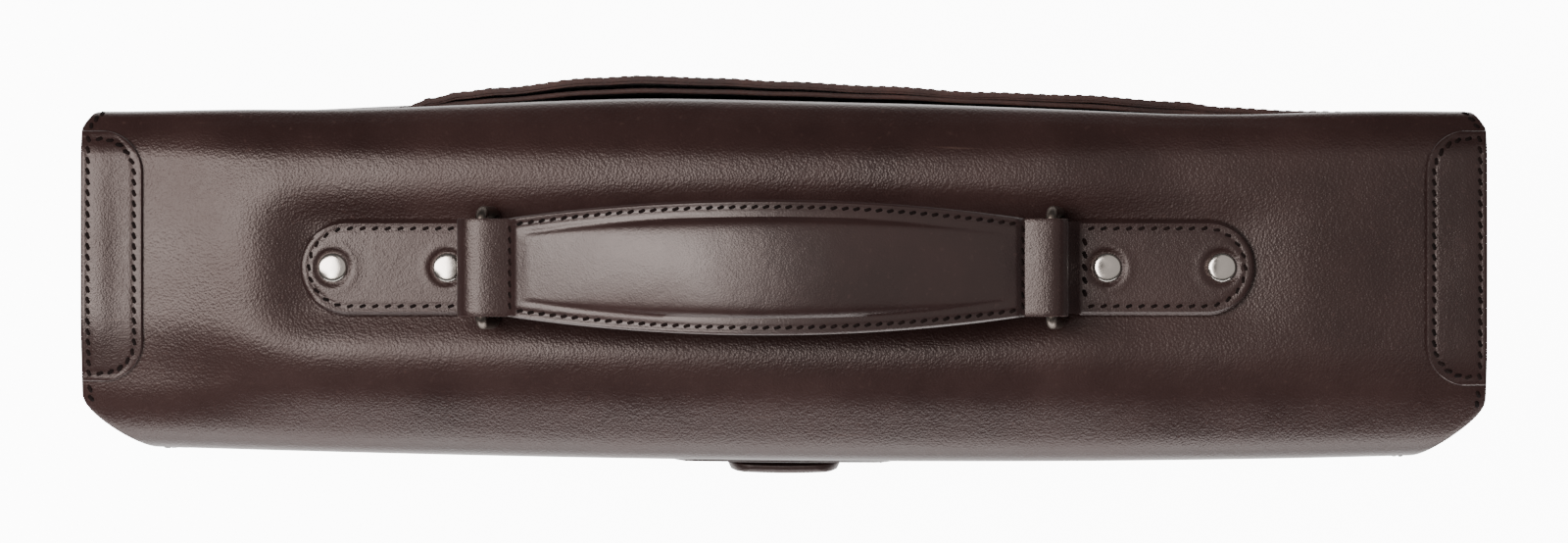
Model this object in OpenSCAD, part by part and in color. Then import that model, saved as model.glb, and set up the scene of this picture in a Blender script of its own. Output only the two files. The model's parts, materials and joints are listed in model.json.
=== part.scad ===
// Leather briefcase with a full flap, a carrying handle on two wire rings and a push lock.
// It stands on its feet: X is the width, -Y the front, +Z up, and the origin is the base centre.

/* [Case] */
// Width of the body across its panels
case_w = 396; // [320:2:480]
// Height of the flap's top face above the ground
case_h = 300; // [250:2:370]
// Depth from the flap's front face to the back panel's rear face
case_d = 104; // [84:1:130]
// Thickness of the body panels
panel_t = 2.6; // [1.8:0.1:3.6]
// Thickness of the base leather
base_t = 3; // [2:0.1:4]
// Thickness of the board inside the base
board_t = 2.4; // [1.5:0.1:4]
// Thickness of the gusset leather
gusset_t = 2; // [1.4:0.1:3]
// Width of the gusset's stitched flange
gusset_flange = 9; // [6:0.5:14]
// How far the gusset folds in between the panels
gusset_fold = 22; // [10:1:40]
// Drop from the flap's top face to the gusset's upper edge
gusset_drop = 38; // [28:1:70]
// Drop from the flap's top face to the front panel's upper edge
front_drop = 34; // [26:1:70]
// Drop from the flap's top face to the divider's upper edge
divider_drop = 56; // [34:1:110]
// Thickness of the divider
divider_t = 2; // [1.4:0.1:4]

/* [Flap] */
// Thickness of the flap's leather
skin_t = 3; // [2:0.1:4]
// Thickness of the lining under the flap
lining_t = 1; // [0.6:0.1:1.6]
// Overhang of the flap's top past the body at each end
flap_overhang = 7; // [5.4:0.2:12]
// Height of the flap's front, from the ground to its lower edge
flap_low = 104; // [102:1:140]
// How much narrower each side of the flap's front is than its top
flap_shoulder = 19; // [8:1:30]
// Radius of the flap's lower corners
flap_corner_r = 40; // [10:1:60]
// Outer radius of the fold at the front
front_fold_r = 20; // [12:1:26]
// Outer radius of the fold at the back
back_fold_r = 10; // [6:1:16]
// Depth of the side ears below the flap
ear_drop = 42; // [20:1:70]
// Thickness of the ear leather
ear_t = 2; // [1.2:0.1:3]
// Thickness of overlays such as the end patches
overlay_t = 1.6; // [1:0.1:2.4]
// Width of the end patches
patch_w = 16.6; // [12:0.2:26]
// Radius of the end patches' inner corners
patch_r = 13; // [6:0.5:16]

/* [Pockets] */
// Thickness of the pocket leather
pocket_t = 1.6; // [1.2:0.1:2.4]
// Free depth of the front pocket
front_pocket_gap = 6.6; // [5:0.1:9]
// Margin between the front pocket and the body's sides
front_pocket_margin = 14; // [8:1:40]
// Height of the front pocket's lower edge above the ground
front_pocket_low = 22; // [14:1:40]
// Drop from the flap's top face to the front pocket's upper edge
front_pocket_drop = 92; // [70:1:140]
// Bulge of the back pocket at its middle
back_pocket_gap = 6.4; // [5:0.1:12]
// Margin between the back pocket and the body's sides
back_pocket_margin = 20; // [10:1:40]
// Height of the back pocket's lower edge above the ground
back_pocket_low = 40; // [20:1:80]
// Drop from the flap's top face to the back pocket's upper edge
back_pocket_drop = 46; // [36:1:90]

/* [Handle] */
// Sideways place of the handle on the flap
handle_x = -2; // [-6:0.5:6]
// Front to back place of the handle on the flap
handle_y = 2; // [-6:0.5:6]
// Distance between the middles of the two wire rings
ring_span = 164.4; // [130:0.2:200]
// Diameter of the ring wire
wire_d = 3.4; // [2.6:0.1:4.4]
// Height of a ring between its two bars
ring_h = 14; // [12:0.5:22]
// Lean of the rings when the handle is at rest
ring_lean = 13; // [0:1:20]
// Leather around the bars of the rings
loop_t = 2.2; // [1.6:0.1:3]
// Width of the handle at its loops
handle_end_w = 28.2; // [22:0.2:32]
// Width of the handle in the middle
handle_mid_w = 38.6; // [36:0.2:48]
// Rise of the handle between its rings
handle_rise = 17; // [10:0.5:28]
// Thickness of the handle's lower leather
handle_t = 3; // [2:0.1:4]
// Height of the handle's padding
pad_h = 5.6; // [4.6:0.1:9]
// Stitched border beside the padding
pad_border = 5; // [3:0.1:6]
// Thickness of the steel core in the padding
core_t = 1.4; // [0.8:0.1:2]
// Width of the steel core in the padding
core_w = 14; // [8:0.5:18]

/* [Handle tabs] */
// Width of the tabs that hold the rings
tab_w = 26.8; // [20:0.2:30]
// Thickness of the tabs
tab_t = 3.2; // [2.4:0.1:4.4]
// Length of a tab from its ring to its round end
tab_len = 56.1; // [50:0.1:80]
// Distance from a ring to the first rivet
rivet_near = 13.8; // [12:0.1:20]
// Distance between the two rivets of a tab
rivet_pitch = 33.4; // [20:0.1:45]
// Diameter of the rivet caps
rivet_cap_d = 8.2; // [6:0.1:11]
// Height of the rivet caps
rivet_cap_h = 2.1; // [1.4:0.1:3]
// Diameter of the rivet posts
rivet_post_d = 3; // [2:0.1:4]
// Width of the steel bar under the flap's top
bar_w = 26; // [20:0.5:34]
// Thickness of the steel bar under the flap's top
bar_t = 1.5; // [1:0.1:2.5]

/* [Lock] */
// Width of the lock strap
strap_w = 34; // [32:0.5:44]
// Thickness of the lock strap
strap_t = 5.4; // [5:0.1:8]
// Height of the strap's lower end above the ground
strap_low = 56; // [50:1:62]
// Drop from the flap's top face to the strap's upper end
strap_drop = 44; // [36:1:60]
// Width of the stitched patch behind the strap
lock_patch_w = 68; // [50:1:90]
// Height of the stitched patch behind the strap
lock_patch_h = 44; // [30:1:60]
// Height of the lock's middle above the ground
lock_z = 82; // [79:1:84]
// Width of the lock's face plate
plate_w = 30; // [27:0.5:31]
// Height of the lock's face plate
plate_h = 38; // [33:0.5:40]
// Thickness of the lock's face plate
plate_t = 1.4; // [1:0.1:2]
// Width of the lock's housing
housing_w = 24; // [21:0.5:26]
// Height of the lock's housing
housing_h = 30; // [26:0.5:31]
// Diameter of the push button
button_d = 13; // [9:0.5:15]
// Travel of the push button
button_travel = 1.4; // [0.8:0.1:1.4]
// Lift of the catch that lets go of the stud
catch_lift = 4.2; // [3.8:0.1:4.4]
// Diameter of the stud on the body
stud_d = 5; // [4.6:0.1:5.4]

/* [Feet] */
// Diameter of the feet
foot_d = 15; // [11:0.5:20]
// Height of the feet
foot_h = 5; // [3:0.5:5]
// Distance from the body's end to a foot
foot_inset = 30; // [16:1:60]

/* [Hidden] */
$fn = 64;

seam = 0.3;      // gap where a fold divides one skin into two pieces
clear = 0.3;     // gap between pieces that move past each other
fit = 0.1;       // gap between a post and its hole
past = 1;        // how far a cutting shape runs past what it cuts
arc_n = 12;      // straight steps in a rounded outline

// Planes of the body
front_y = -case_d / 2;
back_y = case_d / 2;
flap_in_y = front_y + skin_t;
pocket_y = flap_in_y + 0.6;
front_panel_y = pocket_y + pocket_t + front_pocket_gap;
inside_front = front_panel_y + panel_t;
inside_back = back_y - skin_t;
inside_mid = (inside_front + inside_back) / 2;
base_z = foot_h;
floor_z = base_z + base_t;
board_z = floor_z + board_t;
half_w = case_w / 2;

// Gusset fold
fold_x = half_w - gusset_flange - gusset_fold;
gusset_run = (inside_back - inside_front) / 2 - gusset_t;
gusset_dx = gusset_t / cos(atan(gusset_fold / gusset_run));

// Flap
flap_w = case_w + 2 * flap_overhang;
flap_front_w = flap_w - 2 * flap_shoulder;
under_z = case_h - skin_t;
flat_front = front_y + front_fold_r;
flat_back = back_y - back_fold_r;
hinge_z = case_h - back_fold_r;
front_hinge_z = case_h - front_fold_r;

// Rings, tabs and handle
wire_r = wire_d / 2;
bore_r = wire_r + clear;
loop_r = bore_r + loop_t;
low_bar_z = case_h + loop_r + 0.2;
lean_x = -ring_h * sin(ring_lean);
top_bar_z = low_bar_z + ring_h * cos(ring_lean);
ring_in = max(handle_end_w, tab_w) + 2 * clear;
ring_corner = 0.75 * wire_d;
arch_r = (pow(ring_span / 2, 2) + pow(handle_rise, 2)) / (2 * handle_rise);
arch_z = top_bar_z + handle_rise - arch_r;
arch_a = asin(ring_span / 2 / arch_r);
stitch_off = 8.6;
rivet_x = [rivet_near, rivet_near + rivet_pitch];
cap_z = case_h + tab_t;
cap_rim = 0.6;
bar_z = under_z - bar_t;
bar_l = ring_span + 2 * tab_len - 8;
washer_t = 0.8;
washer_d = rivet_cap_d + 1;

// Lock
patch_rim = 10;
strap_y = front_y - strap_t;
plate_y = strap_y - plate_t;
housing_y = front_y + 0.6;
wall = 1.2;
button_proud = button_travel;
flange_t = 1;
flange_d = button_d + 3;
stud_plate_t = 1.2;
stud_plate_w = 26;
stud_plate_h = 30;
stud_plate_y = pocket_y - stud_plate_t;
catch_y = housing_y - wall - 0.2;
catch_t = 0.8;
head_y = catch_y - catch_t - 0.2;
head_t = 0.7;
neck_d = stud_d - 1.4;
catch_slot = neck_d + 0.4;
catch_low = lock_z - catch_lift - stud_d / 2 - 1.5;

function arc(cx, cy, r, a0, a1, n = arc_n) =
    [for (i = [0:n]) let (a = a0 + (a1 - a0) * i / n) [cx + r * cos(a), cy + r * sin(a)]];

function ellipse_arc(cx, cy, rx, ry, a0, a1, n = arc_n) =
    [for (i = [0:n]) let (a = a0 + (a1 - a0) * i / n) [cx + rx * cos(a), cy + ry * sin(a)]];

// Rectangle about the origin with round corners
function round_rect(w, h, r) = concat(
    arc(w / 2 - r, h / 2 - r, r, 0, 90), arc(-w / 2 + r, h / 2 - r, r, 90, 180),
    arc(-w / 2 + r, -h / 2 + r, r, 180, 270), arc(w / 2 - r, -h / 2 + r, r, 270, 360));

// A flat outline in Y and Z pulled along X
module along_x(w) { rotate([90, 0, 90]) linear_extrude(w, center = true) children(); }

// A flat outline in X and Z pulled forward from y1 back to y0
module along_y(y0, y1) { translate([0, y1, 0]) rotate([90, 0, 0]) linear_extrude(y1 - y0) children(); }

// A block from its lowest to its highest corner
module block(lo, hi) { translate(lo) cube(hi - lo); }

// A round bar along Y about the handle's middle line
module bar_y(x, z, r, w) {
    translate([x, handle_y, z]) rotate([90, 0, 0]) cylinder(r = r, h = w, center = true);
}

// Draws for one end of the case, side -1 for the left and 1 for the right
module at_end(side) { scale([side, 1, 1]) children(); }

// ---- body ----

module base_panel() {
    color("#3a2624") difference() {
        block([-half_w, inside_front, base_z], [half_w, inside_back, floor_z]);
        feet_places() cylinder(d = rivet_post_d + 2 * fit, h = 4 * foot_h + board_z, center = true);
    }
}

module base_board() {
    color("#5c4a3a") difference() {
        block([-half_w, inside_front + gusset_t + clear, floor_z],
              [half_w, inside_back - gusset_t - clear, board_z]);
        feet_places() cylinder(d = rivet_post_d + 2 * fit, h = 4 * foot_h + board_z, center = true);
        for (side = [-1, 1]) at_end(side) gusset_room();
    }
}

// Space that the board leaves for the gusset's fold
module gusset_room() {
    edge = half_w - gusset_flange - gusset_dx - clear;
    translate([0, 0, floor_z - past]) linear_extrude(board_t + 2 * past)
        polygon([[half_w + past, inside_front], [edge, inside_front], [edge - gusset_fold, inside_mid],
                 [edge, inside_back], [half_w + past, inside_back]]);
}

module feet_places() {
    foot_y = (inside_back - inside_front) / 2 - foot_d / 2 - 4;
    for (sx = [-1, 1], sy = [-1, 1])
        translate([sx * (half_w - foot_inset), inside_mid + sy * foot_y, 0]) children();
}

// Studs with a domed head below the base, a post through it and a washer inside
module base_feet() {
    profile = concat([[0, 0], [foot_d / 2 - foot_h, 0]],
        arc(foot_d / 2 - foot_h, foot_h, foot_h, 270, 360, 8), [[rivet_post_d / 2, foot_h],
        [rivet_post_d / 2, board_z], [foot_d / 3, board_z], [foot_d / 3, board_z + 1], [0, board_z + 1]]);
    color("silver") feet_places() rotate_extrude() polygon(profile);
}

module back_panel() {
    color("#3a2624") block([-half_w, inside_back, base_z], [half_w, back_y, hinge_z - seam]);
}

module front_panel() {
    color("#3a2624") block([-half_w, front_panel_y, base_z], [half_w, inside_front, case_h - front_drop]);
}

// Side leather that folds in between the panels, with a flange on each
module gusset(side) {
    flange_x = half_w - gusset_flange;
    color("#33211f") translate([0, 0, floor_z]) linear_extrude(case_h - gusset_drop - floor_z)
        scale([side, 1]) polygon([[half_w, inside_front], [half_w, inside_front + gusset_t],
            [flange_x, inside_front + gusset_t], [fold_x, inside_mid], [flange_x, inside_back - gusset_t],
            [half_w, inside_back - gusset_t], [half_w, inside_back], [flange_x - gusset_dx, inside_back],
            [fold_x - gusset_dx, inside_mid], [flange_x - gusset_dx, inside_front]]);
}

module divider() {
    half = fold_x - gusset_dx - clear;
    color("#4a3531") block([-half, inside_mid - divider_t / 2, board_z],
                           [half, inside_mid + divider_t / 2, case_h - divider_drop]);
}

// Box pocket on the front panel, open at the top
module front_pocket() {
    half = half_w - front_pocket_margin;
    color("#3a2624") difference() {
        block([-half, pocket_y, front_pocket_low], [half, front_panel_y, case_h - front_pocket_drop]);
        block([-half + pocket_t, pocket_y + pocket_t, front_pocket_low + pocket_t],
              [half - pocket_t, front_panel_y + past, case_h]);
    }
}

// Patch pocket on the back panel that bulges and stands open at the top
module back_pocket() {
    half = half_w - back_pocket_margin;
    r_in = (half * half + back_pocket_gap * back_pocket_gap) / (2 * back_pocket_gap);
    cy = back_y + back_pocket_gap - r_in;
    a = asin(half / r_in);
    inner = arc(0, cy, r_in, 90 - a, 90 + a, 16);
    outer = [for (p = inner) p + [0, pocket_t]];
    closed = concat([[half, back_y]], outer, [[-half, back_y]]);
    sheet = concat([[half, back_y]], outer, [[-half, back_y]], [for (i = [len(inner) - 2:-1:1]) inner[i]]);
    color("#3a2624") union() {
        translate([0, 0, back_pocket_low]) linear_extrude(pocket_t) polygon(closed);
        translate([0, 0, back_pocket_low + pocket_t])
            linear_extrude(case_h - back_pocket_drop - back_pocket_low - pocket_t) polygon(sheet);
    }
}

// ---- flap ----

// Outline of the flap's top seen from above, narrower past the folds
function flap_plan() = concat(
    ellipse_arc(flap_front_w / 2, flat_front, flap_shoulder, front_fold_r + past, 0, -90),
    ellipse_arc(-flap_front_w / 2, flat_front, flap_shoulder, front_fold_r + past, -90, -180),
    [[-flap_w / 2, flat_back], [-flap_w / 2 + flap_overhang / 2, back_y + past],
     [flap_w / 2 - flap_overhang / 2, back_y + past], [flap_w / 2, flat_back]]);

module flap_top() {
    profile = concat(
        arc(flat_back, hinge_z, back_fold_r, 0, 90), arc(flat_front, front_hinge_z, front_fold_r, 90, 180),
        arc(flat_front, front_hinge_z, front_fold_r - skin_t, 180, 90),
        arc(flat_back, hinge_z, back_fold_r - skin_t, 90, 0));
    color("#3a2624") difference() {
        intersection() {
            along_x(flap_w + 2 * past) polygon(profile);
            linear_extrude(case_h + past) polygon(flap_plan());
        }
        rivet_places() cylinder(d = rivet_post_d + 2 * fit, h = 2 * skin_t, center = true);
    }
}

// Suede under the flap's top, with a window for the steel bar
module flap_top_lining() {
    half = flap_w / 2 - flap_overhang + 2;
    color("#6b5140") difference() {
        block([-half, flat_front, under_z - lining_t], [half, flat_back, under_z]);
        block([handle_x - bar_l / 2 - clear, handle_y - bar_w / 2 - clear, bar_z - past],
              [handle_x + bar_l / 2 + clear, handle_y + bar_w / 2 + clear, under_z + past]);
    }
}

function flap_front_outline(low) = concat(
    [[flap_front_w / 2, front_hinge_z - seam], [-flap_front_w / 2, front_hinge_z - seam]],
    arc(-flap_front_w / 2 + flap_corner_r, low + flap_corner_r, flap_corner_r, 180, 270),
    arc(flap_front_w / 2 - flap_corner_r, low + flap_corner_r, flap_corner_r, 270, 360));

module flap_front() {
    color("#3a2624") along_y(front_y, flap_in_y - lining_t) polygon(flap_front_outline(flap_low));
}

module flap_front_lining() {
    color("#6b5140") along_y(flap_in_y - lining_t, flap_in_y) polygon(flap_front_outline(flap_low));
}

// D-shaped leather sewn over the end of the flap's top
module end_patch(side) {
    outer = flap_w / 2;
    inner = outer - patch_w;
    color("#35211f") translate([0, 0, case_h]) linear_extrude(overlay_t) scale([side, 1])
        polygon(concat([[outer, flat_front], [outer, flat_back]],
            arc(inner + patch_r, flat_back - patch_r, patch_r, 90, 180),
            arc(inner + patch_r, flat_front + patch_r, patch_r, 180, 270)));
}

// Side flap that hangs from the end of the flap's top and covers the gusset
module ear(side) {
    inner_x = half_w + (flap_overhang - ear_t) / 2;
    r = ear_drop / 2;
    color("#35211f") translate([side * (inner_x + ear_t / 2), 0, 0]) along_x(ear_t)
        polygon(concat([[flat_back - 2, under_z], [flat_front + 2, under_z]],
            arc(flat_front + 4 + r, under_z - ear_drop + r, r, 180, 270),
            arc(flat_back - 4 - r, under_z - ear_drop + r, r, 270, 360)));
}

// ---- handle ----

module rivet_places() {
    for (side = [-1, 1], x = rivet_x)
        translate([handle_x + side * (ring_span / 2 + x), handle_y, case_h - skin_t / 2]) children();
}

module handle_bar() {
    color("silver") difference() {
        block([handle_x - bar_l / 2, handle_y - bar_w / 2, bar_z],
              [handle_x + bar_l / 2, handle_y + bar_w / 2, under_z]);
        rivet_places() cylinder(d = rivet_post_d + 2 * fit, h = 4 * skin_t, center = true);
    }
}

// Leather tab around the lower bar of a ring, with a round outer end
module tab(side) {
    end_x = tab_len - tab_w / 2;
    color("#3f2927") difference() {
        union() {
            translate([handle_x, handle_y, case_h]) linear_extrude(tab_t) scale([side, 1])
                polygon(concat([[ring_span / 2, -tab_w / 2]],
                    arc(ring_span / 2 + end_x, 0, tab_w / 2, -90, 90, 24), [[ring_span / 2, tab_w / 2]]));
            bar_y(handle_x + side * ring_span / 2, low_bar_z, loop_r, tab_w);
        }
        bar_y(handle_x + side * ring_span / 2, low_bar_z, bore_r, tab_w + past);
        rivet_places() cylinder(d = rivet_post_d + 2 * fit, h = 6 * tab_t, center = true);
    }
}

// Domed caps with posts that run down through the tab, the flap and the steel bar
module rivets(side) {
    r = rivet_cap_d / 2;
    profile = concat([[0, bar_z - washer_t - cap_z], [rivet_post_d / 2, bar_z - washer_t - cap_z],
        [rivet_post_d / 2, 0], [r, 0]],
        ellipse_arc(0, cap_rim, r, rivet_cap_h - cap_rim, 0, 90, 8));
    color("silver") for (x = rivet_x)
        translate([handle_x + side * (ring_span / 2 + x), handle_y, cap_z]) rotate_extrude() polygon(profile);
}

module rivet_washers() {
    color("silver") for (side = [-1, 1], x = rivet_x)
        translate([handle_x + side * (ring_span / 2 + x), handle_y, bar_z - washer_t]) difference() {
            cylinder(d = washer_d, h = washer_t);
            cylinder(d = rivet_post_d + 2 * fit, h = 3 * washer_t, center = true);
        }
}

// Rectangular wire ring that stands on its lower bar and leans
module ring(side) {
    post_y = ring_in / 2 + wire_r;
    run_y = 2 * (post_y - ring_corner);
    run_z = ring_h - 2 * ring_corner;
    color("silver") translate([handle_x + side * ring_span / 2, handle_y, low_bar_z])
        rotate([0, -ring_lean, 0]) union() {
            for (z = [0, ring_h]) translate([0, 0, z]) rotate([90, 0, 0])
                cylinder(r = wire_r, h = run_y, center = true);
            for (sy = [-1, 1]) translate([0, sy * post_y, ring_corner]) cylinder(r = wire_r, h = run_z);
            for (c = [[1, 0, 0], [1, 1, 90], [-1, 1, 180], [-1, 0, -90]])
                translate([0, c[0] * run_y / 2, ring_corner + c[1] * run_z]) rotate([0, 90, 0])
                    rotate([0, 0, c[2]]) rotate_extrude(angle = 90) translate([ring_corner, 0])
                        circle(r = wire_r);
        }
}

// Outline of the handle seen from above, wide in the middle and straight at its loops
function handle_plan(border, end_x) =
    let (bow = (handle_mid_w - handle_end_w) / 2, half = ring_span / 2 - stitch_off,
         r = (half * half + bow * bow) / (2 * bow), cy = handle_mid_w / 2 - r,
         a = asin(min(end_x, half) / r), end_y = handle_end_w / 2 - border)
    concat([[end_x, end_y]], arc(0, cy, r - border, 90 - a, 90 + a, 24), [[-end_x, end_y], [-end_x, -end_y]],
           arc(0, -cy, r - border, 270 - a, 270 + a, 24), [[end_x, -end_y]]);

// Part of the arch between two radii and within an angle either side of its crown
module arch(r0, r1, a, w) {
    translate([handle_x + lean_x, handle_y, arch_z]) rotate([90, 0, 0]) linear_extrude(w, center = true)
        polygon(concat(arc(0, 0, r1, 90 - a, 90 + a, 32), arc(0, 0, r0, 90 + a, 90 - a, 32)));
}

module handle_outline(border, end_x) {
    translate([handle_x + lean_x, handle_y, case_h]) linear_extrude(4 * ring_h + handle_rise)
        polygon(handle_plan(border, end_x));
}

// Lower leather of the handle, turned round the rings' upper bars at both ends
module handle_strap() {
    color("#3f2927") difference() {
        union() {
            intersection() {
                arch(arch_r - handle_t / 2, arch_r + handle_t / 2, arch_a, handle_mid_w + past);
                handle_outline(0, ring_span / 2);
            }
            for (side = [-1, 1]) {
                bar_y(handle_x + lean_x + side * ring_span / 2, top_bar_z, loop_r, handle_end_w);
                intersection() {
                    arch(arch_r - handle_t / 2 - loop_t, arch_r, arch_a, handle_end_w);
                    translate([handle_x + lean_x + side * (ring_span - stitch_off) / 2, handle_y, top_bar_z])
                        cube([stitch_off, handle_end_w, 4 * loop_r], center = true);
                }
            }
        }
        for (side = [-1, 1])
            bar_y(handle_x + lean_x + side * ring_span / 2, top_bar_z, bore_r, handle_mid_w);
    }
}

module handle_pad() {
    pad_x = ring_span / 2 - stitch_off - 5;
    low = arch_r + handle_t / 2;
    color("#4a302d") difference() {
        intersection() {
            arch(low, low + pad_h, arch_a, handle_mid_w);
            handle_outline(pad_border, pad_x);
        }
        core_shape(0);
    }
}

module core_shape(gap) {
    core_r = arch_r + handle_t / 2 + (pad_h - core_t) / 2;
    core_a = asin((ring_span / 2 - stitch_off - 12) / arch_r);
    arch(core_r + gap, core_r + core_t - gap, core_a, core_w - 2 * gap);
}

module handle_core() { color("silver") core_shape(0.05); }

// ---- lock ----

module lock_patch() {
    top = case_h - strap_drop + patch_rim;
    color("#35211f") difference() {
        translate([0, 0, top - lock_patch_h / 2]) along_y(front_y - overlay_t, front_y)
            polygon(round_rect(lock_patch_w, lock_patch_h, 9));
        translate([0, 0, top - lock_patch_h / 2 - patch_rim])
            along_y(front_y - overlay_t - past, front_y + past)
                square([strap_w + 2 * fit, lock_patch_h + 2 * fit], center = true);
    }
}

// Thick strap down the front of the flap that carries the lock
module lock_strap() {
    high = case_h - strap_drop;
    color("#2f1d1b") difference() {
        translate([0, 0, (high + strap_low) / 2]) along_y(strap_y, front_y)
            polygon(round_rect(strap_w, high - strap_low, 8));
        translate([0, 0, lock_z]) along_y(strap_y - past, front_y + past)
            square([housing_w + 2 * fit, housing_h + 2 * fit], center = true);
    }
}

// Open box behind the face plate, with a hole for the stud
module lock_housing() {
    color("silver") difference() {
        translate([0, 0, lock_z]) along_y(strap_y, housing_y) square([housing_w, housing_h], center = true);
        translate([0, 0, lock_z]) along_y(strap_y - past, housing_y - wall)
            square([housing_w - 2 * wall, housing_h - 2 * wall], center = true);
        translate([0, housing_y, lock_z]) rotate([90, 0, 0])
            cylinder(d = stud_d + 2 * clear, h = 4 * wall, center = true);
    }
}

module lock_plate() {
    color("silver") difference() {
        translate([0, 0, lock_z]) along_y(plate_y, strap_y) polygon(round_rect(plate_w, plate_h, 5));
        translate([0, plate_y, lock_z]) rotate([90, 0, 0])
            cylinder(d = button_d + 2 * fit, h = 4 * plate_t, center = true);
    }
}

// Push button with a flange that keeps it behind the face plate
module lock_button() {
    color("gainsboro") translate([0, strap_y + flange_t + fit, lock_z]) rotate([90, 0, 0]) union() {
        cylinder(d = flange_d, h = flange_t);
        cylinder(d = button_d, h = flange_t + fit + plate_t + button_proud - 0.8);
        translate([0, 0, flange_t + fit + plate_t + button_proud - 0.8])
            cylinder(d1 = button_d, d2 = button_d - 2, h = 0.8);
    }
}

// Plate with a keyhole that holds the stud's neck, and lifts when the button is pressed
module lock_catch() {
    w = housing_w - 2 * wall - 2 * clear;
    color("gray") difference() {
        block([-w / 2, catch_y - catch_t, catch_low], [w / 2, catch_y, lock_z + stud_d]);
        block([-catch_slot / 2, catch_y - catch_t - past, lock_z - catch_lift],
              [catch_slot / 2, catch_y + past, lock_z]);
        translate([0, catch_y, lock_z]) rotate([90, 0, 0])
            cylinder(d = catch_slot, h = 4 * catch_t, center = true);
        translate([0, catch_y, lock_z - catch_lift]) rotate([90, 0, 0])
            cylinder(d = stud_d + 2 * clear, h = 4 * catch_t, center = true);
    }
}

// Leaf spring below the catch, along the housing's floor
module lock_spring() {
    w = housing_w - 2 * wall - 2 * clear;
    leaf = 0.4;
    low = lock_z - housing_h / 2 + wall;
    color("gray") union() {
        block([-w / 2, catch_y - leaf, low], [w / 2, catch_y, catch_low - clear]);
        block([-w / 2, catch_y - 4 * leaf, low], [w / 2, catch_y - leaf, low + leaf]);
    }
}

// Plate on the front pocket with the stud that enters the lock
module lock_stud_plate() {
    color("silver") union() {
        translate([0, 0, lock_z]) along_y(stud_plate_y, pocket_y)
            polygon(round_rect(stud_plate_w, stud_plate_h, 5));
        translate([0, stud_plate_y, lock_z]) rotate([90, 0, 0]) {
            cylinder(d = neck_d, h = stud_plate_y - head_y + head_t);
            cylinder(d = stud_d, h = stud_plate_y - catch_y - 0.2);
            translate([0, 0, stud_plate_y - head_y]) cylinder(d = stud_d, h = head_t);
        }
    }
}

base_panel();
base_board();
base_feet();
back_panel();
front_panel();
gusset(-1);  // gusset_left
gusset(1);  // gusset_right
divider();
front_pocket();
back_pocket();
flap_top();
flap_top_lining();
flap_front();
flap_front_lining();
end_patch(-1);  // end_patch_left
end_patch(1);  // end_patch_right
ear(-1);  // ear_left
ear(1);  // ear_right
handle_bar();
tab(-1);  // tab_left
tab(1);  // tab_right
rivets(-1);  // rivets_left
rivets(1);  // rivets_right
rivet_washers();
ring(-1);  // ring_left
ring(1);  // ring_right
handle_strap();
handle_pad();
handle_core();
lock_patch();
lock_strap();
lock_housing();
lock_plate();
lock_button();
lock_catch();
lock_spring();
lock_stud_plate();
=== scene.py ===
import json
import math

import bpy
from mathutils import Matrix, Vector, noise


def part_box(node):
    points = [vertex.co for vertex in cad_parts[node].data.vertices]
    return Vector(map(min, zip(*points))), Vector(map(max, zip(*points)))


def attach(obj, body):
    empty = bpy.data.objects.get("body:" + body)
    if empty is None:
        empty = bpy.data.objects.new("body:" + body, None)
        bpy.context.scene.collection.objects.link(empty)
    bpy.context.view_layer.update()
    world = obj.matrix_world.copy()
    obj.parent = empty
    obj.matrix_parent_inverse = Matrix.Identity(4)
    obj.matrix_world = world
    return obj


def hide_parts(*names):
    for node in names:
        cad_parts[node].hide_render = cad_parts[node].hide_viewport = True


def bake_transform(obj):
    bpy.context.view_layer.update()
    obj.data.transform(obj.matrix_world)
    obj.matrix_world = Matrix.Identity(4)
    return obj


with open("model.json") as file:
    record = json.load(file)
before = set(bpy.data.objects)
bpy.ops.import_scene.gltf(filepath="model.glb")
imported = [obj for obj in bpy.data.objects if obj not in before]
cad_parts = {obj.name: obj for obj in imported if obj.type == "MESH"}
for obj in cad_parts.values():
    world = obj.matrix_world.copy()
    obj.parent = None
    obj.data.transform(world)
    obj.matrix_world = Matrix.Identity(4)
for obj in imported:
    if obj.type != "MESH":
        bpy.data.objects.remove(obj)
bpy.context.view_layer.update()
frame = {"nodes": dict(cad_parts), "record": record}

mm = 0.001
print("frame loaded")


def smooth(value, start, end):
    t = min(1.0, max(0.0, (value - start) / (end - start)))
    return t * t * (3 - 2 * t)


def hill(value, centre, width):
    return math.exp(-((value - centre) / width) ** 2)


def waver(point, size, depth):
    return depth * noise.noise(Vector(point) / size)


def spread(start, end, count):
    return [start + (end - start) * i / count for i in range(count + 1)]


def chain(*runs):
    # Joins runs of stops, each (start, end, count), into one list
    stops = [runs[0][0]]
    for start, end, count in runs:
        stops += spread(start, end, count)[1:]
    return stops


def rounding(distance, radius):
    # How far a surface drops at that distance from an edge of that radius
    t = 1 - min(1.0, max(0.0, distance / radius))
    return radius * (1 - math.sqrt(1 - t * t))


def roundedStops(first, last, radius, endCount, middleCount, start=0.0):
    # Stops from first to last, closer together where both ends are rounded
    ends = [radius * (1 - math.cos(t)) for t in spread(start, math.pi / 2, endCount)]
    middle = spread(first + radius, last - radius, middleCount)[1:-1]
    return [first + d for d in ends] + middle + [last - d for d in reversed(ends)]


def addNode(tree, kind, **values):
    made = tree.nodes.new(kind)
    for name, value in values.items():
        if name in made.inputs:
            if hasattr(value, "is_output"):
                tree.links.new(value, made.inputs[name])
            else:
                made.inputs[name].default_value = value
        else:
            setattr(made, name, value)
    return made


def newMaterial(name, colour, roughness, metallic=0.0):
    material = bpy.data.materials.new(name)
    material.use_nodes = True
    shader = material.node_tree.nodes["Principled BSDF"]
    shader.inputs["Base Color"].default_value = (*colour, 1)
    shader.inputs["Roughness"].default_value = roughness
    shader.inputs["Metallic"].default_value = metallic
    return material, material.node_tree, shader


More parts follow.
